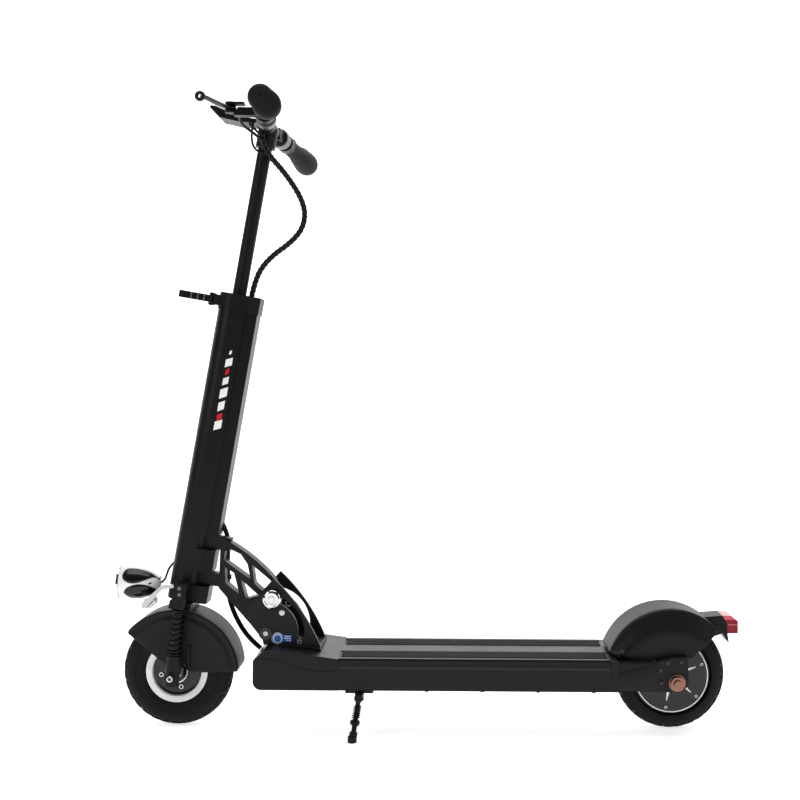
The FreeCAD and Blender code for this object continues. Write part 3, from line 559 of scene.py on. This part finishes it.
def tyre(node, place, bead, body):
    """The profile is one half from the bead to the crown; the other half is its mirror image."""
    half = [(max(bead, r), h) for r, h in TREAD_PROFILE if r > bead - 2]
    whole = half + [(r, -h) for r, h in reversed(half[:-1])]
    steps = 120
    bm = turned(whole, Matrix.Identity(4), steps)
    tidy(bm)
    blocks = []
    for face in bm.faces:
        middle = face.calc_center_median()
        reach, across = math.hypot(middle.x, middle.y) / MM, abs(middle.z) / MM
        turn = int((math.atan2(middle.y, middle.x) / math.tau + 1) * steps + 0.01)
        crown = reach > 96.7 and (across < 4 or 5.8 < across < 10) or (95 < reach and 11.6 < across < 15)
        shoulder = 92 < reach < 95 and 16 < across < 19 and turn % 3 != 0
        if (crown and (turn + (across > 5)) % 4 != 0) or shoulder:
            blocks.append(face)
    grown = bmesh.ops.inset_region(bm, faces=blocks, thickness=0.0006, depth=0.0013, use_even_offset=True)
    bmesh.ops.transform(bm, matrix=place, verts=bm.verts)
    thing = mesh_object(node + "_treaded", bm)
    print(node, "tread blocks:", len(blocks), "bands:", len(grown["faces"]))
    return dress(thing, tyre_black, body, (node,), sharp=28)


tyre("front_tyre", FRONT_WHEEL, 56, "front_wheel")
tyre("rear_tyre", REAR_WHEEL, 73, "rear_wheel")


# %% Front rim with its white band
def two_tone(thing, first, second, is_second):
    """Gives a piece two materials, the second where is_second(face) is true."""
    thing.data.materials.append(first)
    thing.data.materials.append(second)
    for face in thing.data.polygons:
        face.material_index = int(is_second(face))
    return thing


RIM_SIDE = ((12, 13), (12, 19), (17.5, 19), (18, 22.6), (21, 22.6), (21.6, 15.5), (24, 14.4), (40, 14),
            (44, 15.2), (45, 21), (45.6, 21.4), (55.6, 21.4), (56, 21), (56, 17), (60, 15.5))
bm = turned(list(RIM_SIDE) + [(r, -h) for r, h in reversed(RIM_SIDE)] + [RIM_SIDE[0]], FRONT_WHEEL, 96)
rim = mesh_object("front_rim_cast", tidy(bm))


def on_band(face):
    reach = math.hypot(face.center.x - 0.452, face.center.z - 0.1) / MM
    return 44.4 < reach < 56 and abs(face.center.y) > 0.0170


two_tone(rim, gloss_black, white_paint, on_band)
dress(rim, gloss_black, "front_wheel", ("front_rim",))
for side, label in SIDES:
    ring = turned([(18, 22.7 * side), (18.3, 23.4 * side), (20.7, 23.4 * side), (21, 22.7 * side)],
                  FRONT_WHEEL, 64)
    dress(mesh_object(f"hub_ring_{label}", tidy(ring)), bright_steel, "front_wheel")
print("front rim faces:", len(rim.data.polygons))


# %% Bolts with a bright ring round a socket, whose shade is painted in dark
BOLT_PROFILE = ((0, 0.4), (1.9, 0.4), (2.1, 1.6), (2.6, 2.3), (4.2, 2.3), (4.9, 1.5), (5, -1.5), (0, -1.5))


def bolt_faces(spots, base, scale=1.0):
    """Ringed bolt heads at (radius, degrees, height) round Z of base. A negative height turns one over."""
    bm = bmesh.new()
    for radius, degrees, height in spots:
        turn = math.radians(degrees)
        spot = base @ Matrix.Translation(mm(radius * math.cos(turn), radius * math.sin(turn), height))
        if height < 0:
            spot = spot @ Matrix.Rotation(math.pi, 4, "X")
        turned([(r * scale, h * scale) for r, h in BOLT_PROFILE], spot, 20, bm)
    return tidy(bm)


def paint_socket_shade(thing, first, second, reach):
    """Paints shade into each bolt's socket, which is the part nearest its middle, using the dark second
    finish.
    """
    thing.data.materials.append(first)
    thing.data.materials.append(second)
    bm = bmesh.new()
    bm.from_mesh(thing.data)
    islands, seen = [], set()
    for start in bm.faces:
        if start in seen:
            continue
        island, queue = [], [start]
        while queue:
            face = queue.pop()
            if face not in seen:
                seen.add(face)
                island.append(face)
                queue += [f for e in face.edges for f in e.link_faces]
        islands.append(island)
    for island in islands:
        middle = sum((f.calc_center_median() for f in island), Vector()) / len(island)
        for face in island:
            offset = face.calc_center_median() - middle
            # Faces near the bolt's middle get the dark finish: painted shade in the socket.
            face.material_index = int(math.hypot(offset.x, offset.z) < reach * MM)
    bm.to_mesh(thing.data)
    bm.free()
    return len(islands)


spots = [(30, degrees, side * 14) for degrees in (14, 104, 194, 284) for side in (1, -1)]
bolts = mesh_object("rim_bolts", bolt_faces(spots, FRONT_WHEEL))
print("rim bolts:", paint_socket_shade(bolts, bright_steel, gloss_black, 2.0))
dress(bolts, bright_steel, "front_wheel")

# %% Motor covers: a thin white ring, six bolts and six dashes on each side
COVER = 24
bm = bmesh.new()
for side in (1, -1):
    face = COVER * side
    turned([(65.1, face - side), (65.1, face + 0.5 * side), (67, face + 0.5 * side), (67, face - side),
            (65.1, face - side)], REAR_WHEEL, 96, bm)
dress(mesh_object("motor_ring", tidy(bm)), white_paint, "rear_wheel")
FIRST_DASH = 19.5
spots = [(58.6, FIRST_DASH + 60 * i + 1, COVER * side) for i in range(6) for side in (1, -1)]
bolts = mesh_object("motor_cover_bolts", bolt_faces(spots, REAR_WHEEL, 0.62))
print("motor bolts:", paint_socket_shade(bolts, bright_steel, gloss_black, 1.9))
dress(bolts, bright_steel, "rear_wheel")
bm = bmesh.new()
for side in (1, -1):
    for i in range(6):
        turn = Matrix.Rotation(math.radians(FIRST_DASH + 60 * i), 4, "Z")
        corners = [REAR_WHEEL @ turn @ mm(x, y, COVER * side - 0.4 * side)
                   for x, y in ((28, -2.6), (47, -0.7), (47, 0.7), (28, 2.6))]
        raised(bm, corners, mm(0, side, 0))
dress(mesh_object("motor_dashes", tidy(bm)), white_paint, "rear_wheel")
print("motor dashes: 12")

# %% [markdown]
# ## Mudguards
# Both guards are thin mouldings. A flat side plate would look cut from sheet, while the real ones roll over
# at the crown into a soft ridge and then fall into a hollow side. So one cross-section is spun over the
# wheel, and each column of the sheet is then slid inwards until it ends on the guard's own lower edge.
# Solidify gives the sheet its wall.


# %% A guard from a section that is spun and trimmed
def guard(name, node, body, centre, section, columns, edge_at, wall):
    """section is (share of the way from crown to edge, half width). edge_at(degrees) gives both reaches."""
    bm = bmesh.new()
    shape = [(share, -half) for share, half in reversed(section)] + list(section[1:])
    start, stop, count = columns
    rim = [bm.verts.new(mm(100, i, 0)) for i in range(len(shape))]
    edges = [bm.edges.new(pair) for pair in zip(rim, rim[1:])]
    bmesh.ops.spin(bm, geom=rim + edges, cent=(0, 0, 0), axis=(0, -1, 0), angle=math.radians(stop - start),
                   steps=count)
    for v in bm.verts:
        row = round(v.co.y / MM)
        degrees = start + math.degrees(math.atan2(v.co.z, v.co.x)) % 360
        share, width = shape[row]
        crown, low = edge_at(degrees)
        reach = crown + (low - crown) * share
        turn = math.radians(degrees)
        v.co = mm(centre[0] + reach * math.cos(turn), width, centre[1] + reach * math.sin(turn))
    bmesh.ops.recalc_face_normals(bm, faces=bm.faces)
    top = max(bm.faces, key=lambda f: f.calc_center_median().z)
    if top.normal.z < 0:
        bmesh.ops.reverse_faces(bm, faces=bm.faces)
    thing = mesh_object(name, bm)
    thicken(thing, wall)
    soften(thing)
    return dress(thing, guard_black, body, (node,), sharp=60)


def along(table, value):
    """Reads a table of (value, numbers...) rows, in straight lines between them."""
    if value <= table[0][0]:
        return table[0][1:]
    for low, high in zip(table, table[1:]):
        if value <= high[0]:
            share = (value - low[0]) / (high[0] - low[0])
            return tuple(a + (b - a) * share for a, b in zip(low[1:], high[1:]))
    return table[-1][1:]


# %% Front mudguard
FRONT_SECTION = ((0.0, 0.0), (0.0, 20.0), (0.0, 32.0), (0.0, 36.2), (0.02, 37.6), (0.05, 37.6), (0.09, 36.0),
                 (0.13, 36.2), (0.17, 37.8), (0.22, 38.0), (0.29, 36.8), (0.4, 36.0), (0.6, 36.0),
                 (0.8, 36.0), (1.0, 36.0))
FRONT_EDGE = ((40, 112, 45), (41, 115, 30), (44, 115, 27), (60, 115, 24), (90, 115, 23), (130, 115, 22),
              (160, 115, 24), (174, 115, 28), (178, 113, 50))
front_guard = guard("front_mudguard_moulded", "front_mudguard", "stem", (452, 100), FRONT_SECTION,
                    (40, 178, 60), lambda degrees: along(FRONT_EDGE, degrees), 2.2)
print("front guard faces:", len(front_guard.data.polygons))

# %% Rear mudguard
REAR_CENTRE = (-443.1, 106.9)
REAR_SECTION = ((0.0, 0.0), (0.0, 18.0), (0.0, 36.0), (0.0, 44.0), (0.03, 47.0), (0.07, 48.5), (0.13, 49.5),
                (0.22, 53.0), (0.32, 58.5), (0.42, 61.2), (0.55, 61.6), (0.7, 60.8), (0.85, 60.2),
                (0.95, 60.2), (1.0, 60.2))


def rear_reach(degrees):
    """Crown and lower edge of the rear guard along one direction from the middle of its arc."""
    turn = math.radians(degrees)
    way = Vector((math.cos(turn), math.sin(turn)))
    outline = ((-319, 155), (-331, 150), (-347, 141), (-363, 134), (-433, 137), (-502, 140), (-517, 175),
               (-529, 186))
    low = 6.0
    for a, b in zip(outline, outline[1:]):
        p, q = Vector(a) - Vector(REAR_CENTRE), Vector(b) - Vector(REAR_CENTRE)
        cross = way.x * (q.y - p.y) - way.y * (q.x - p.x)
        if abs(cross) > 1e-9:
            reach = (p.x * (q.y - p.y) - p.y * (q.x - p.x)) / cross
            along_edge = (way * reach - p).dot(q - p) / (q - p).length_squared
            if reach > 0 and -0.001 <= along_edge <= 1.001:
                low = max(low, reach)
    crown = 118.1
    return crown, min(low, crown - 3)


rear_guard = guard("rear_mudguard_moulded", "rear_mudguard", "base", REAR_CENTRE, REAR_SECTION, (19, 137, 56),
                   rear_reach, 2.4)
print("rear guard faces:", len(rear_guard.data.polygons))

# %% [markdown]
# ## Fork springs
# Each fork leg carries a black coil spring outside its tube. A coil is a round wire swept along a helix,
# with the last turn at each end closed flat, as ground spring ends are.

# %% Springs
LEG_WAY = Vector((-0.09585, 0, 0.9954))
LEG_X = Vector((0.9954, 0, 0.09585))
for side, label in SIDES:
    leg = axes((452, 56 * side, 100), LEG_X, Vector((0, 1, 0)), LEG_WAY)
    helix, turns, low, high = [], 9.5, 41.0, 117.0
    for i in range(int(turns * 20) + 1):
        share = i / (turns * 20)
        rise = min(max((share - 0.07) / 0.86, 0), 1)
        turn = math.tau * turns * share
        helix.append(leg @ mm(10.6 * math.cos(turn), 10.6 * math.sin(turn),
                              low + (high - low) * rise + 2 * share))
    coil = dress(mesh_object(f"coil_spring_{label}", tidy(tube(helix, 1.9, sides=8))), steel_black,
                 "fork_lower", ("fork_springs",) if side > 0 else ())
    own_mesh(coil)
print("springs: 2")

# %% Fork leg ends: a ringed axle bolt and two crown bolts on each side
bm = bmesh.new()
for side in (1, -1):
    turned([(r * 1.15, h) for r, h in BOLT_PROFILE], facing(452, 75 * side, 100, side), 24, bm)
axle_bolts = mesh_object("axle_end_bolts", tidy(bm))
paint_socket_shade(axle_bolts, bright_steel, gloss_black, 2.4)
dress(axle_bolts, bright_steel, "fork_lower")
bm = bmesh.new()
for side in (1, -1):
    for height in (249, 260):
        turned([(0, 1.4), (1.6, 1.4), (1.8, 2.6), (3.2, 2.6), (3.6, 2.0), (3.6, -1), (0, -1)],
               facing(437, 69 * side, height, side), 20, bm)
dress(mesh_object("fork_ear_bolts", tidy(bm)), dull_bolt, "stem")
print("fork bolts: 6")

# %% [markdown]
# ## Headlight
# The headlight is a white egg with two glossy black tear-shaped inserts on each side and a clear lens in
# front. Painting the inserts on would lose their raised edge, so each one is a flat tear shape that is
# filled with rings, pressed onto the egg along the sideways direction and thickened.

# %% The egg
LAMP_AXES = axes((528, 0, 258), Vector((0, 1, 0)), Vector((0, 0, 1)), Vector((1, 0, 0)))
EGG = ((0, -42), (4, -41.4), (9, -39.5), (14, -36), (19, -30.5), (23.5, -23), (27, -14), (29.6, -4),
       (30.9, 6), (31.2, 14), (31, 22), (30.7, 27), (30.6, 30), (29.6, 30.6), (28, 30.2), (27, 22), (20, 8),
       (8, 0), (0, -1))
egg = mesh_object("lamp_egg", tidy(turned(EGG, LAMP_AXES, 64)))
two_tone(egg, white_gloss, chrome, lambda f: math.hypot(f.center.y, f.center.z - 0.258) < 0.0295
         and f.center.x > 0.5275 and f.normal.x > -0.2)
dress(egg, white_gloss, "lamp", ("lamp_body",), sharp=50)
print("egg faces:", len(egg.data.polygons))

# %% The black inserts
from mathutils.bvhtree import BVHTree

UPPER = ((482, 275.8), (492, 272.5), (503, 269), (513, 265), (524, 261.6), (535, 261), (545, 265),
         (550, 270), (551, 276), (547, 285), (538, 290.5), (526, 292), (512, 291), (499, 287.5), (488, 281))
LOWER = ((547.5, 244), (545.5, 250.5), (538, 256), (527, 259.4), (517, 259.8), (507, 257.5), (498, 252.5),
         (491, 245.5), (491, 237), (498, 233.4), (508, 232.4), (520, 231.8), (532, 232.4), (541, 235.2))
EGG_REACH = sorted((height, radius) for radius, height in EGG[:13])


def on_egg(x, z):
    """Keeps an outline point clear of the egg's own edge, as seen from the side."""
    reach = 0.9 * along(EGG_REACH, x - 528)[0]
    return x, 258 + max(-reach, min(reach, z - 258))


shell = BVHTree.FromObject(egg, bpy.context.evaluated_depsgraph_get())
for label, outline in (("upper", UPPER), ("lower", LOWER)):
    for side, hand in SIDES:
        bm = bmesh.new()
        closed = [on_egg(*point) for point in (*outline, outline[0])]
        rim = path_points([(x, 60 * side, z) for x, z in closed], 3)[:-1]
        flat = bm.faces.new([bm.verts.new(point) for point in rim])
        bmesh.ops.inset_region(bm, faces=[flat], thickness=0.0018)
        bmesh.ops.triangulate(bm, faces=[flat])
        inner = [e for e in bm.edges if not e.is_boundary and e.calc_length() > 0.004]
        bmesh.ops.subdivide_edges(bm, edges=inner, cuts=4, use_grid_fill=True)
        bmesh.ops.triangulate(bm, faces=bm.faces)
        for v in bm.verts:
            hit = shell.ray_cast(v.co, Vector((0, -side, 0)))[0] or shell.find_nearest(v.co)[0]
            out = (hit - mm(522, 0, 258)).normalized()
            v.co = hit + out * 0.0007
        bmesh.ops.recalc_face_normals(bm, faces=bm.faces)
        if sum(f.normal.y * side for f in bm.faces) < 0:
            bmesh.ops.reverse_faces(bm, faces=bm.faces)
        insert = mesh_object(f"lamp_insert_{label}_{hand}", bm)
        thicken(insert, 1.2)
        dress(insert, gloss_black, "lamp", sharp=60)
print("inserts: 4")

# %% Front ring, reflector bulb and the clamp under the lamp
bm = turned([(29.4, 30.4), (30.9, 30.4), (31.4, 31.6), (31.2, 34), (30.2, 34.6), (29.6, 33.6), (29.4, 30.4)],
            LAMP_AXES, 64)
dress(mesh_object("lamp_front_ring", tidy(bm)), chrome, "lamp")
bm = turned([(0, 6), (3.4, 6), (4.2, 10), (3.4, 14.5), (0, 16)], LAMP_AXES, 24)
dress(mesh_object("lamp_bulb", tidy(bm)), white_gloss, "lamp")
bm = bmesh.new()
CLAMP = facing(506, 0, 223)
for low, high, reach in ((12.5, 17, 9.5), (-17, -12.5, 9.5), (17, 21.5, 6.2)):
    turned([(0, low), (reach - 1, low), (reach, low + 1), (reach, high - 1), (reach - 1, high), (0, high)],
           CLAMP, 32, bm)
dress(mesh_object("lamp_clamp", tidy(bm)), chrome, "stem")
print("lamp trim: 3")

# %% [markdown]
# ## Folding bracket trim
# The lock pin ends in a bright knurled knob that the rider pulls. A knob is turned first, and the knurl is
# every other strip of its rim pulled in a little. Small bolt rings and a plain coloured label sit below.

# %% Knob
KNOB = facing(275, 45, 239)
KNOB_PROFILE = ((5, -25), (5, 0), (13.5, 0), (15.5, 1.2), (16.6, 3), (17, 5), (17, 9.5), (16.4, 11.6),
                (15, 13), (12.6, 13.9), (11.6, 12.9), (6.4, 12.6), (5.6, 13.6), (0, 13.9))
bm = turned(list(KNOB_PROFILE) + [(0, -25), (5, -25)], Matrix.Identity(4), 64)
bmesh.ops.remove_doubles(bm, verts=bm.verts, dist=1e-6)
for v in bm.verts:
    reach = math.hypot(v.co.x, v.co.y) / MM
    turn = int(round(math.atan2(v.co.y, v.co.x) / math.tau * 64)) % 2
    if reach > 16.5 and turn:
        v.co.x *= 0.985
        v.co.y *= 0.985
bmesh.ops.transform(bm, matrix=KNOB, verts=bm.verts)
knob = dress(mesh_object("lock_knob", tidy(bm)), chrome, "lock_pin", ("lock_pin",), sharp=30)
print("knob faces:", len(knob.data.polygons))

# %% Bracket bolts, pivot ends and label
bm = bmesh.new()
for side in (1, -1):
    turned([(0, 0.3), (2.2, 0.3), (2.6, 0.7), (4.4, 0.7), (4.8, 0.4), (4.8, -0.3), (0, -0.3)],
           facing(226, 44 * side, 161, side), 24, bm)
dress(mesh_object("bracket_bolt_rings", tidy(bm)), dull_bolt, "base")
bm = bmesh.new()
for side in (1, -1):
    turned(button(5.3, 0.5), facing(258, 44 * side, 213, side), 28, bm)
    turned([(0, 0.2), (2, 0.2), (2.6, 1.2), (4, 1.2), (4.4, -0.5), (0, -0.5)],
           facing(286.6, 47 * side, 175.9, side), 24, bm)
dress(mesh_object("bracket_pin_ends", tidy(bm)), bright_steel, "base")
LABEL = facing(265.3, 44, 166.6)
bm = tidy(turned(button(10.6, 0.4), LABEL, 48))
dress(mesh_object("plain_label_disc", bm), white_paint, "base")
bm = turned([(0, 0.75), (6.4, 0.75), (6.4, 0.3), (0, 0.3)], LABEL, 40)
turned([(8.4, 0.3), (8.4, 0.75), (9.8, 0.75), (9.8, 0.3), (8.4, 0.3)], LABEL, 40, bm)
tab = slab(bm, (248.5, 44.25, 167), (17, 0.6, 12))
bmesh.ops.bevel(bm, geom=list({e for v in tab for e in v.link_edges
                               if abs(e.verts[0].co.y - e.verts[1].co.y) > 0.0003}), offset=0.002, segments=4,
                profile=0.5, affect="EDGES", material=-1)
dress(mesh_object("plain_label_tab", tidy(bm)), blue_paint, "base")
bm = bmesh.new()
for z, low, high in ((170.4, 242, 253), (167, 242, 254), (163.6, 242, 250)):
    bar = slab(bm, ((low + high) / 2, 44.45, z), (high - low, 0.5, 1.3))
    bmesh.ops.bevel(bm, geom=list({e for v in bar for e in v.link_edges}), offset=0.0002, segments=2,
                    profile=0.5, affect="EDGES", material=-1)
dress(mesh_object("plain_label_lines", tidy(bm)), white_paint, "base")
print("bracket trim: 5")

# %% [markdown]
# ## Castings at the two ends of the deck
# The front cap has one soft line pressed along each side. A bead that follows a curve catches the light in
# the same way. At the rear, the casting swells out to meet the deck in two steps. Each step is one flat
# outline, extruded and then leaned outwards towards the deck.

# %% Cap lines and casting shoulders
bm = bmesh.new()
CREASE = ((299, 141), (274, 139.9), (242, 133.9), (218, 123.6), (197, 118.2), (170, 118.6), (153, 119))
for side in (1, -1):
    tube(resample(path_points([(x, 86.9 * side, z) for x, z in CREASE]), 0.004), 0.9, sides=8, bm=bm)
dress(mesh_object("cap_lines", tidy(bm)), land_black, "base")
STEPS = ((((-330, 88.5), (-330, 117), (-344, 117), (-372, 127), (-414, 132.5), (-414, 88.5)), 86.6, 77.6),
         (((-330, 116), (-330, 136.5), (-418, 135), (-418, 116)), 83.5, 77.0))
bm = bmesh.new()
for outline, wide, narrow in STEPS:
    for side in (1, -1):
        flat = bm.faces.new([bm.verts.new(mm(x, 76 * side, z)) for x, z in outline])
        lifted = bmesh.ops.extrude_face_region(bm, geom=[flat])["geom"]
        for v in (item for item in lifted if isinstance(item, bmesh.types.BMVert)):
            share = (v.co.x / MM + 330) / -84
            v.co.y = side * (wide + (narrow - wide) * min(share, 1)) * MM
        bmesh.ops.bevel(bm, geom=[e for e in bm.edges if all(v in lifted for v in e.verts)], offset=0.0012,
                        segments=3, profile=0.5, affect="EDGES", material=-1)
dress(mesh_object("casting_shoulders", tidy(bm)), land_black, "base")
print("casting steps:", len(STEPS) * 2)

# %% The front guard's stays, and the rear guard's screws
bm = bmesh.new()
for side in (1, -1):
    spine = [mm(426, 39.5 * side, z) for z in range(112, 152, 3)]
    tube(spine, 2.2, sides=10, bm=bm)
    turned(button(4.2, 2.0), facing(431, 37.4 * side, 110, side), 20, bm)
dress(mesh_object("front_guard_stays", tidy(bm)), steel_black, "stem")
bm = bmesh.new()
for side in (1, -1):
    turned([(0, 0.6), (1.6, 0.6), (2, 1.6), (3.6, 1.6), (4, 0.6), (4, -3), (0, -3)],
           facing(-353.3, 59.5 * side, 151.3, side), 20, bm)
dress(mesh_object("rear_guard_screws", tidy(bm)), gloss_black, "base")
print("guard trim: 2")

# %% [markdown]
# ## Stem graphic
# The real stem has a printed name in white and red. It is replaced by plain slanted bars of the same height
# and colours, thin enough to read as print. They follow the stem's lean.

# %% Slanted bars
STEM = axes((480, 0, 0), Vector((0.986, 0, 0.16677)), Vector((0, 1, 0)), Vector((-0.16677, 0, 0.986)))
BARS = ((548, 22, 13, "white"), (566, 16, 9, "red"), (583, 22, 11, "white"), (606, 24, 13, "white"),
        (631, 18, 10, "white"), (650, 14, 6, "red"), (664, 20, 12, "white"), (688, 9, 4, "white"))
for colour, material in (("white", white_paint), ("red", red_paint)):
    bm = bmesh.new()
    for low, long, wide, tone in BARS:
        if tone == colour:
            corners = [(wide / 2 - 8, low), (wide / 2 - 8, low + long * 0.72), (-wide / 2 - 8, low + long),
                       (-wide / 2 - 8, low + long * 0.28)]
            raised(bm, [STEM @ mm(x, 28.3, height) for x, height in corners], mm(0, 0.5, 0))
    dress(mesh_object(f"stem_bars_{colour}", tidy(bm)), material, "stem")
print("stem bars:", len(BARS))

# %% [markdown]
# ## Handlebar
# The grips are the shaped kind with a palm rest: round under the fingers and swelling into a wing that
# points down and back. Each is lofted from rings that are the hull of two circles, one on the bar and one
# on the wing. The left grip is built once and mirrored for the right.

# %% Grips
HINGE = Vector((289.53, 50, 1093.86))
LEFT_BAR = axes(HINGE, Vector((0.99449, 0.10483, -0.00229)), Vector((0, -0.02181, -0.99976)),
                Vector((-0.10485, 0.99428, -0.02169)))
MIRROR = Matrix.Scale(-1, 4, (0, 1, 0))
GRIP_RINGS = ((98, 16.5, 0, 10), (100, 18.2, 0, 10), (105, 18.2, 0, 10), (107, 16.2, 0, 10),
              (112, 15.8, 0, 11), (125, 15.6, 3, 12), (140, 15.8, 6, 13), (155, 16.2, 11, 13.5),
              (170, 17.2, 17, 14), (184, 18.8, 21, 14.6), (197, 20.6, 24, 15), (207, 21.4, 25, 15.2),
              (215, 21.0, 25, 15), (220, 19.4, 24.5, 13.6), (222.6, 16.5, 24, 11), (223.5, 12, 23, 7))
WING_WAY = Vector((-0.66, 0.75, 0))


def grip_mesh():
    bm = bmesh.new()
    rings = []
    for height, radius, reach, tip in GRIP_RINGS:
        place = LEFT_BAR @ Matrix.Translation(mm(0, 0, height))
        verts = bmesh.ops.create_circle(bm, segments=40, radius=0.01)["verts"]
        for k, v in enumerate(verts):
            turn = math.tau * k / len(verts)
            way = Vector((math.cos(turn), math.sin(turn), 0))
            along_wing = max(way.dot(WING_WAY), 0)
            far = reach * along_wing ** 1.5
            flat = radius + (tip - radius) * along_wing
            v.co = place @ ((way * (flat + far)) * MM)
        rings.append(verts)
    cap = bridge(bm, rings)
    bmesh.ops.inset_region(bm, faces=cap, thickness=0.0085, depth=0.0004)
    bmesh.ops.inset_region(bm, faces=cap, thickness=0.0004, depth=0)
    return tidy(bm)


for side, label in SIDES:
    bm = grip_mesh()
    if side < 0:
        bmesh.ops.transform(bm, matrix=MIRROR, verts=bm.verts)
        bmesh.ops.recalc_face_normals(bm, faces=bm.faces)
    grip = mesh_object(f"{label}_palm_grip", bm)
    soften(grip)
    dress(grip, grip_rubber, f"{label}_bar", (f"{label}_grip",), sharp=50)
    # A small disc in the darkest rubber on the grip's end is painted shade standing for the hole there.
    bm = turned([(0, 224.4), (2.2, 224.4), (2.6, 223.5), (2.6, 222.4), (0, 222.4)],
                LEFT_BAR if side > 0 else MIRROR @ LEFT_BAR, 24)
    dress(mesh_object(f"{label}_grip_end_painted_hole_shade", tidy(bm)), strip_rubber, f"{label}_bar")
print("grips: 2")

# %% Brake lever: a flattened curved blade that ends in a ring
BLADE = ((336, 118, 1099.5), (341, 134, 1100), (346, 150, 1099), (350, 168, 1097.5), (354, 186, 1096.8),
         (359, 204, 1097), (364, 220, 1097.4), (368, 229, 1096.8))
bm = bmesh.new()
rings, points = [], path_points(BLADE, 6)
for i, point in enumerate(points):
    ahead = (points[min(i + 1, len(points) - 1)] - points[max(i - 1, 0)]).normalized()
    out = ahead.cross(Vector((0, 0, 1))).normalized()
    share = i / (len(points) - 1)
    wide = 8.2 - 3.4 * share
    ring = bmesh.ops.create_circle(bm, segments=16, radius=MM)["verts"]
    for v in ring:
        v.co = point + out * v.co.x * wide + ahead.cross(out) * v.co.y * (5.4 - 1.6 * share)
    rings.append(ring)
bridge(bm, rings)
LEVER_END = facing(370.5, 235, 1096)
loop = [(5.7 + 3.2 * math.cos(math.tau * k / 12), 3.2 * math.sin(math.tau * k / 12)) for k in range(13)]
turned(loop, LEVER_END, 28, bm)
bmesh.ops.create_uvsphere(bm, u_segments=20, v_segments=12, radius=0.0085,
                          matrix=Matrix.Translation(mm(338, 132, 1100)) @ Matrix.Scale(0.8, 4, (0, 0, 1)))
dress(mesh_object("brake_blade", tidy(bm)), gloss_black, "brake_lever", ("brake_lever",),
      sharp=50)
print("lever points:", len(points))

# %% Small wires at the handlebar: display, loop and throttle wires into the bundle, and the brake hose
bm = bmesh.new()
WIRES = (((318, 30, 1100), (322, 26, 1082), (322, 20, 1064), (317, 16, 1053), (306, 15, 1047),
          (294, 16, 1044)),
         ((330, 12, 1102), (318, 18, 1090), (306, 22, 1078), (300, 24, 1066)),
         ((305, -30, 1085), (306, -8, 1068), (299, 10, 1054), (291, 16, 1043)))
for wire in WIRES:
    tube(resample(path_points(wire), 0.003), 2.1, sides=10, bm=bm)
dress(mesh_object("handlebar_wires", tidy(bm)), sheath_black, "post")
HOSE = ((330, 96, 1096), (334, 80, 1092), (330, 62, 1086), (320, 44, 1080), (310, 32, 1074), (304, 26, 1068))
bm = tidy(tube(resample(path_points(HOSE), 0.003), 2.6, sides=12))
hose = dress(mesh_object("brake_hose", bm), sheath_black)
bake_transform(hose)
print("wires:", len(WIRES) + 1)

# %% [markdown]
# ## Clamp lever and stand
# A few small parts carry the last of the detail: the bands on the quick-release lever, and the spring,
# collar and bolt of the stand.

# %% Clamp lever bands
bm = bmesh.new()
for x in (62, 74, 86):
    band = STEM @ axes((x, 0, 783.5), Vector((0, 0, 1)), Vector((0, 1, 0)), Vector((-1, 0, 0)))
    turned([(6.1, -1.6), (6.5, -1.1), (6.5, 1.1), (6.1, 1.6)], band, 28, bm)
dress(mesh_object("lever_bands", tidy(bm)), sleeve_grey, "clamp_lever")
print("lever bands: 3")

# %% Kickstand spring, collar and bolt
bm = bmesh.new()
PIVOT, FOOT = mm(115, 88, 74), mm(125, 105, 4)
down = (FOOT - PIVOT).normalized()
side = down.cross(Vector((1, 0, 0))).normalized()
coil = []
for i in range(101):
    turn = math.tau * 7 * i / 100
    out = side * math.cos(turn) + down.cross(side) * math.sin(turn)
    coil.append(PIVOT + down * (0.014 + 0.022 * i / 100) + out * 0.0066)
tube(coil, 1.0, sides=6, bm=bm)
dress(mesh_object("stand_spring", tidy(bm)), steel_black, "kickstand")
bm = turned([(0, 40), (8.2, 40), (8.8, 41), (8.8, 45), (8.2, 46), (0, 46)],
            Matrix.Translation(PIVOT) @ down.to_track_quat("Z", "Y").to_matrix().to_4x4(), 32)
dress(mesh_object("stand_collar", tidy(bm)), steel_black, "kickstand")
bm = turned([(0, 1.6), (2.4, 1.6), (2.8, 2.8), (4.4, 2.8), (5, 2), (5, -1), (0, -1)],
            facing(115, 96, 74), 28)
dress(mesh_object("stand_bolt", tidy(bm)), bright_steel, "kickstand")
print("stand trim: 3")
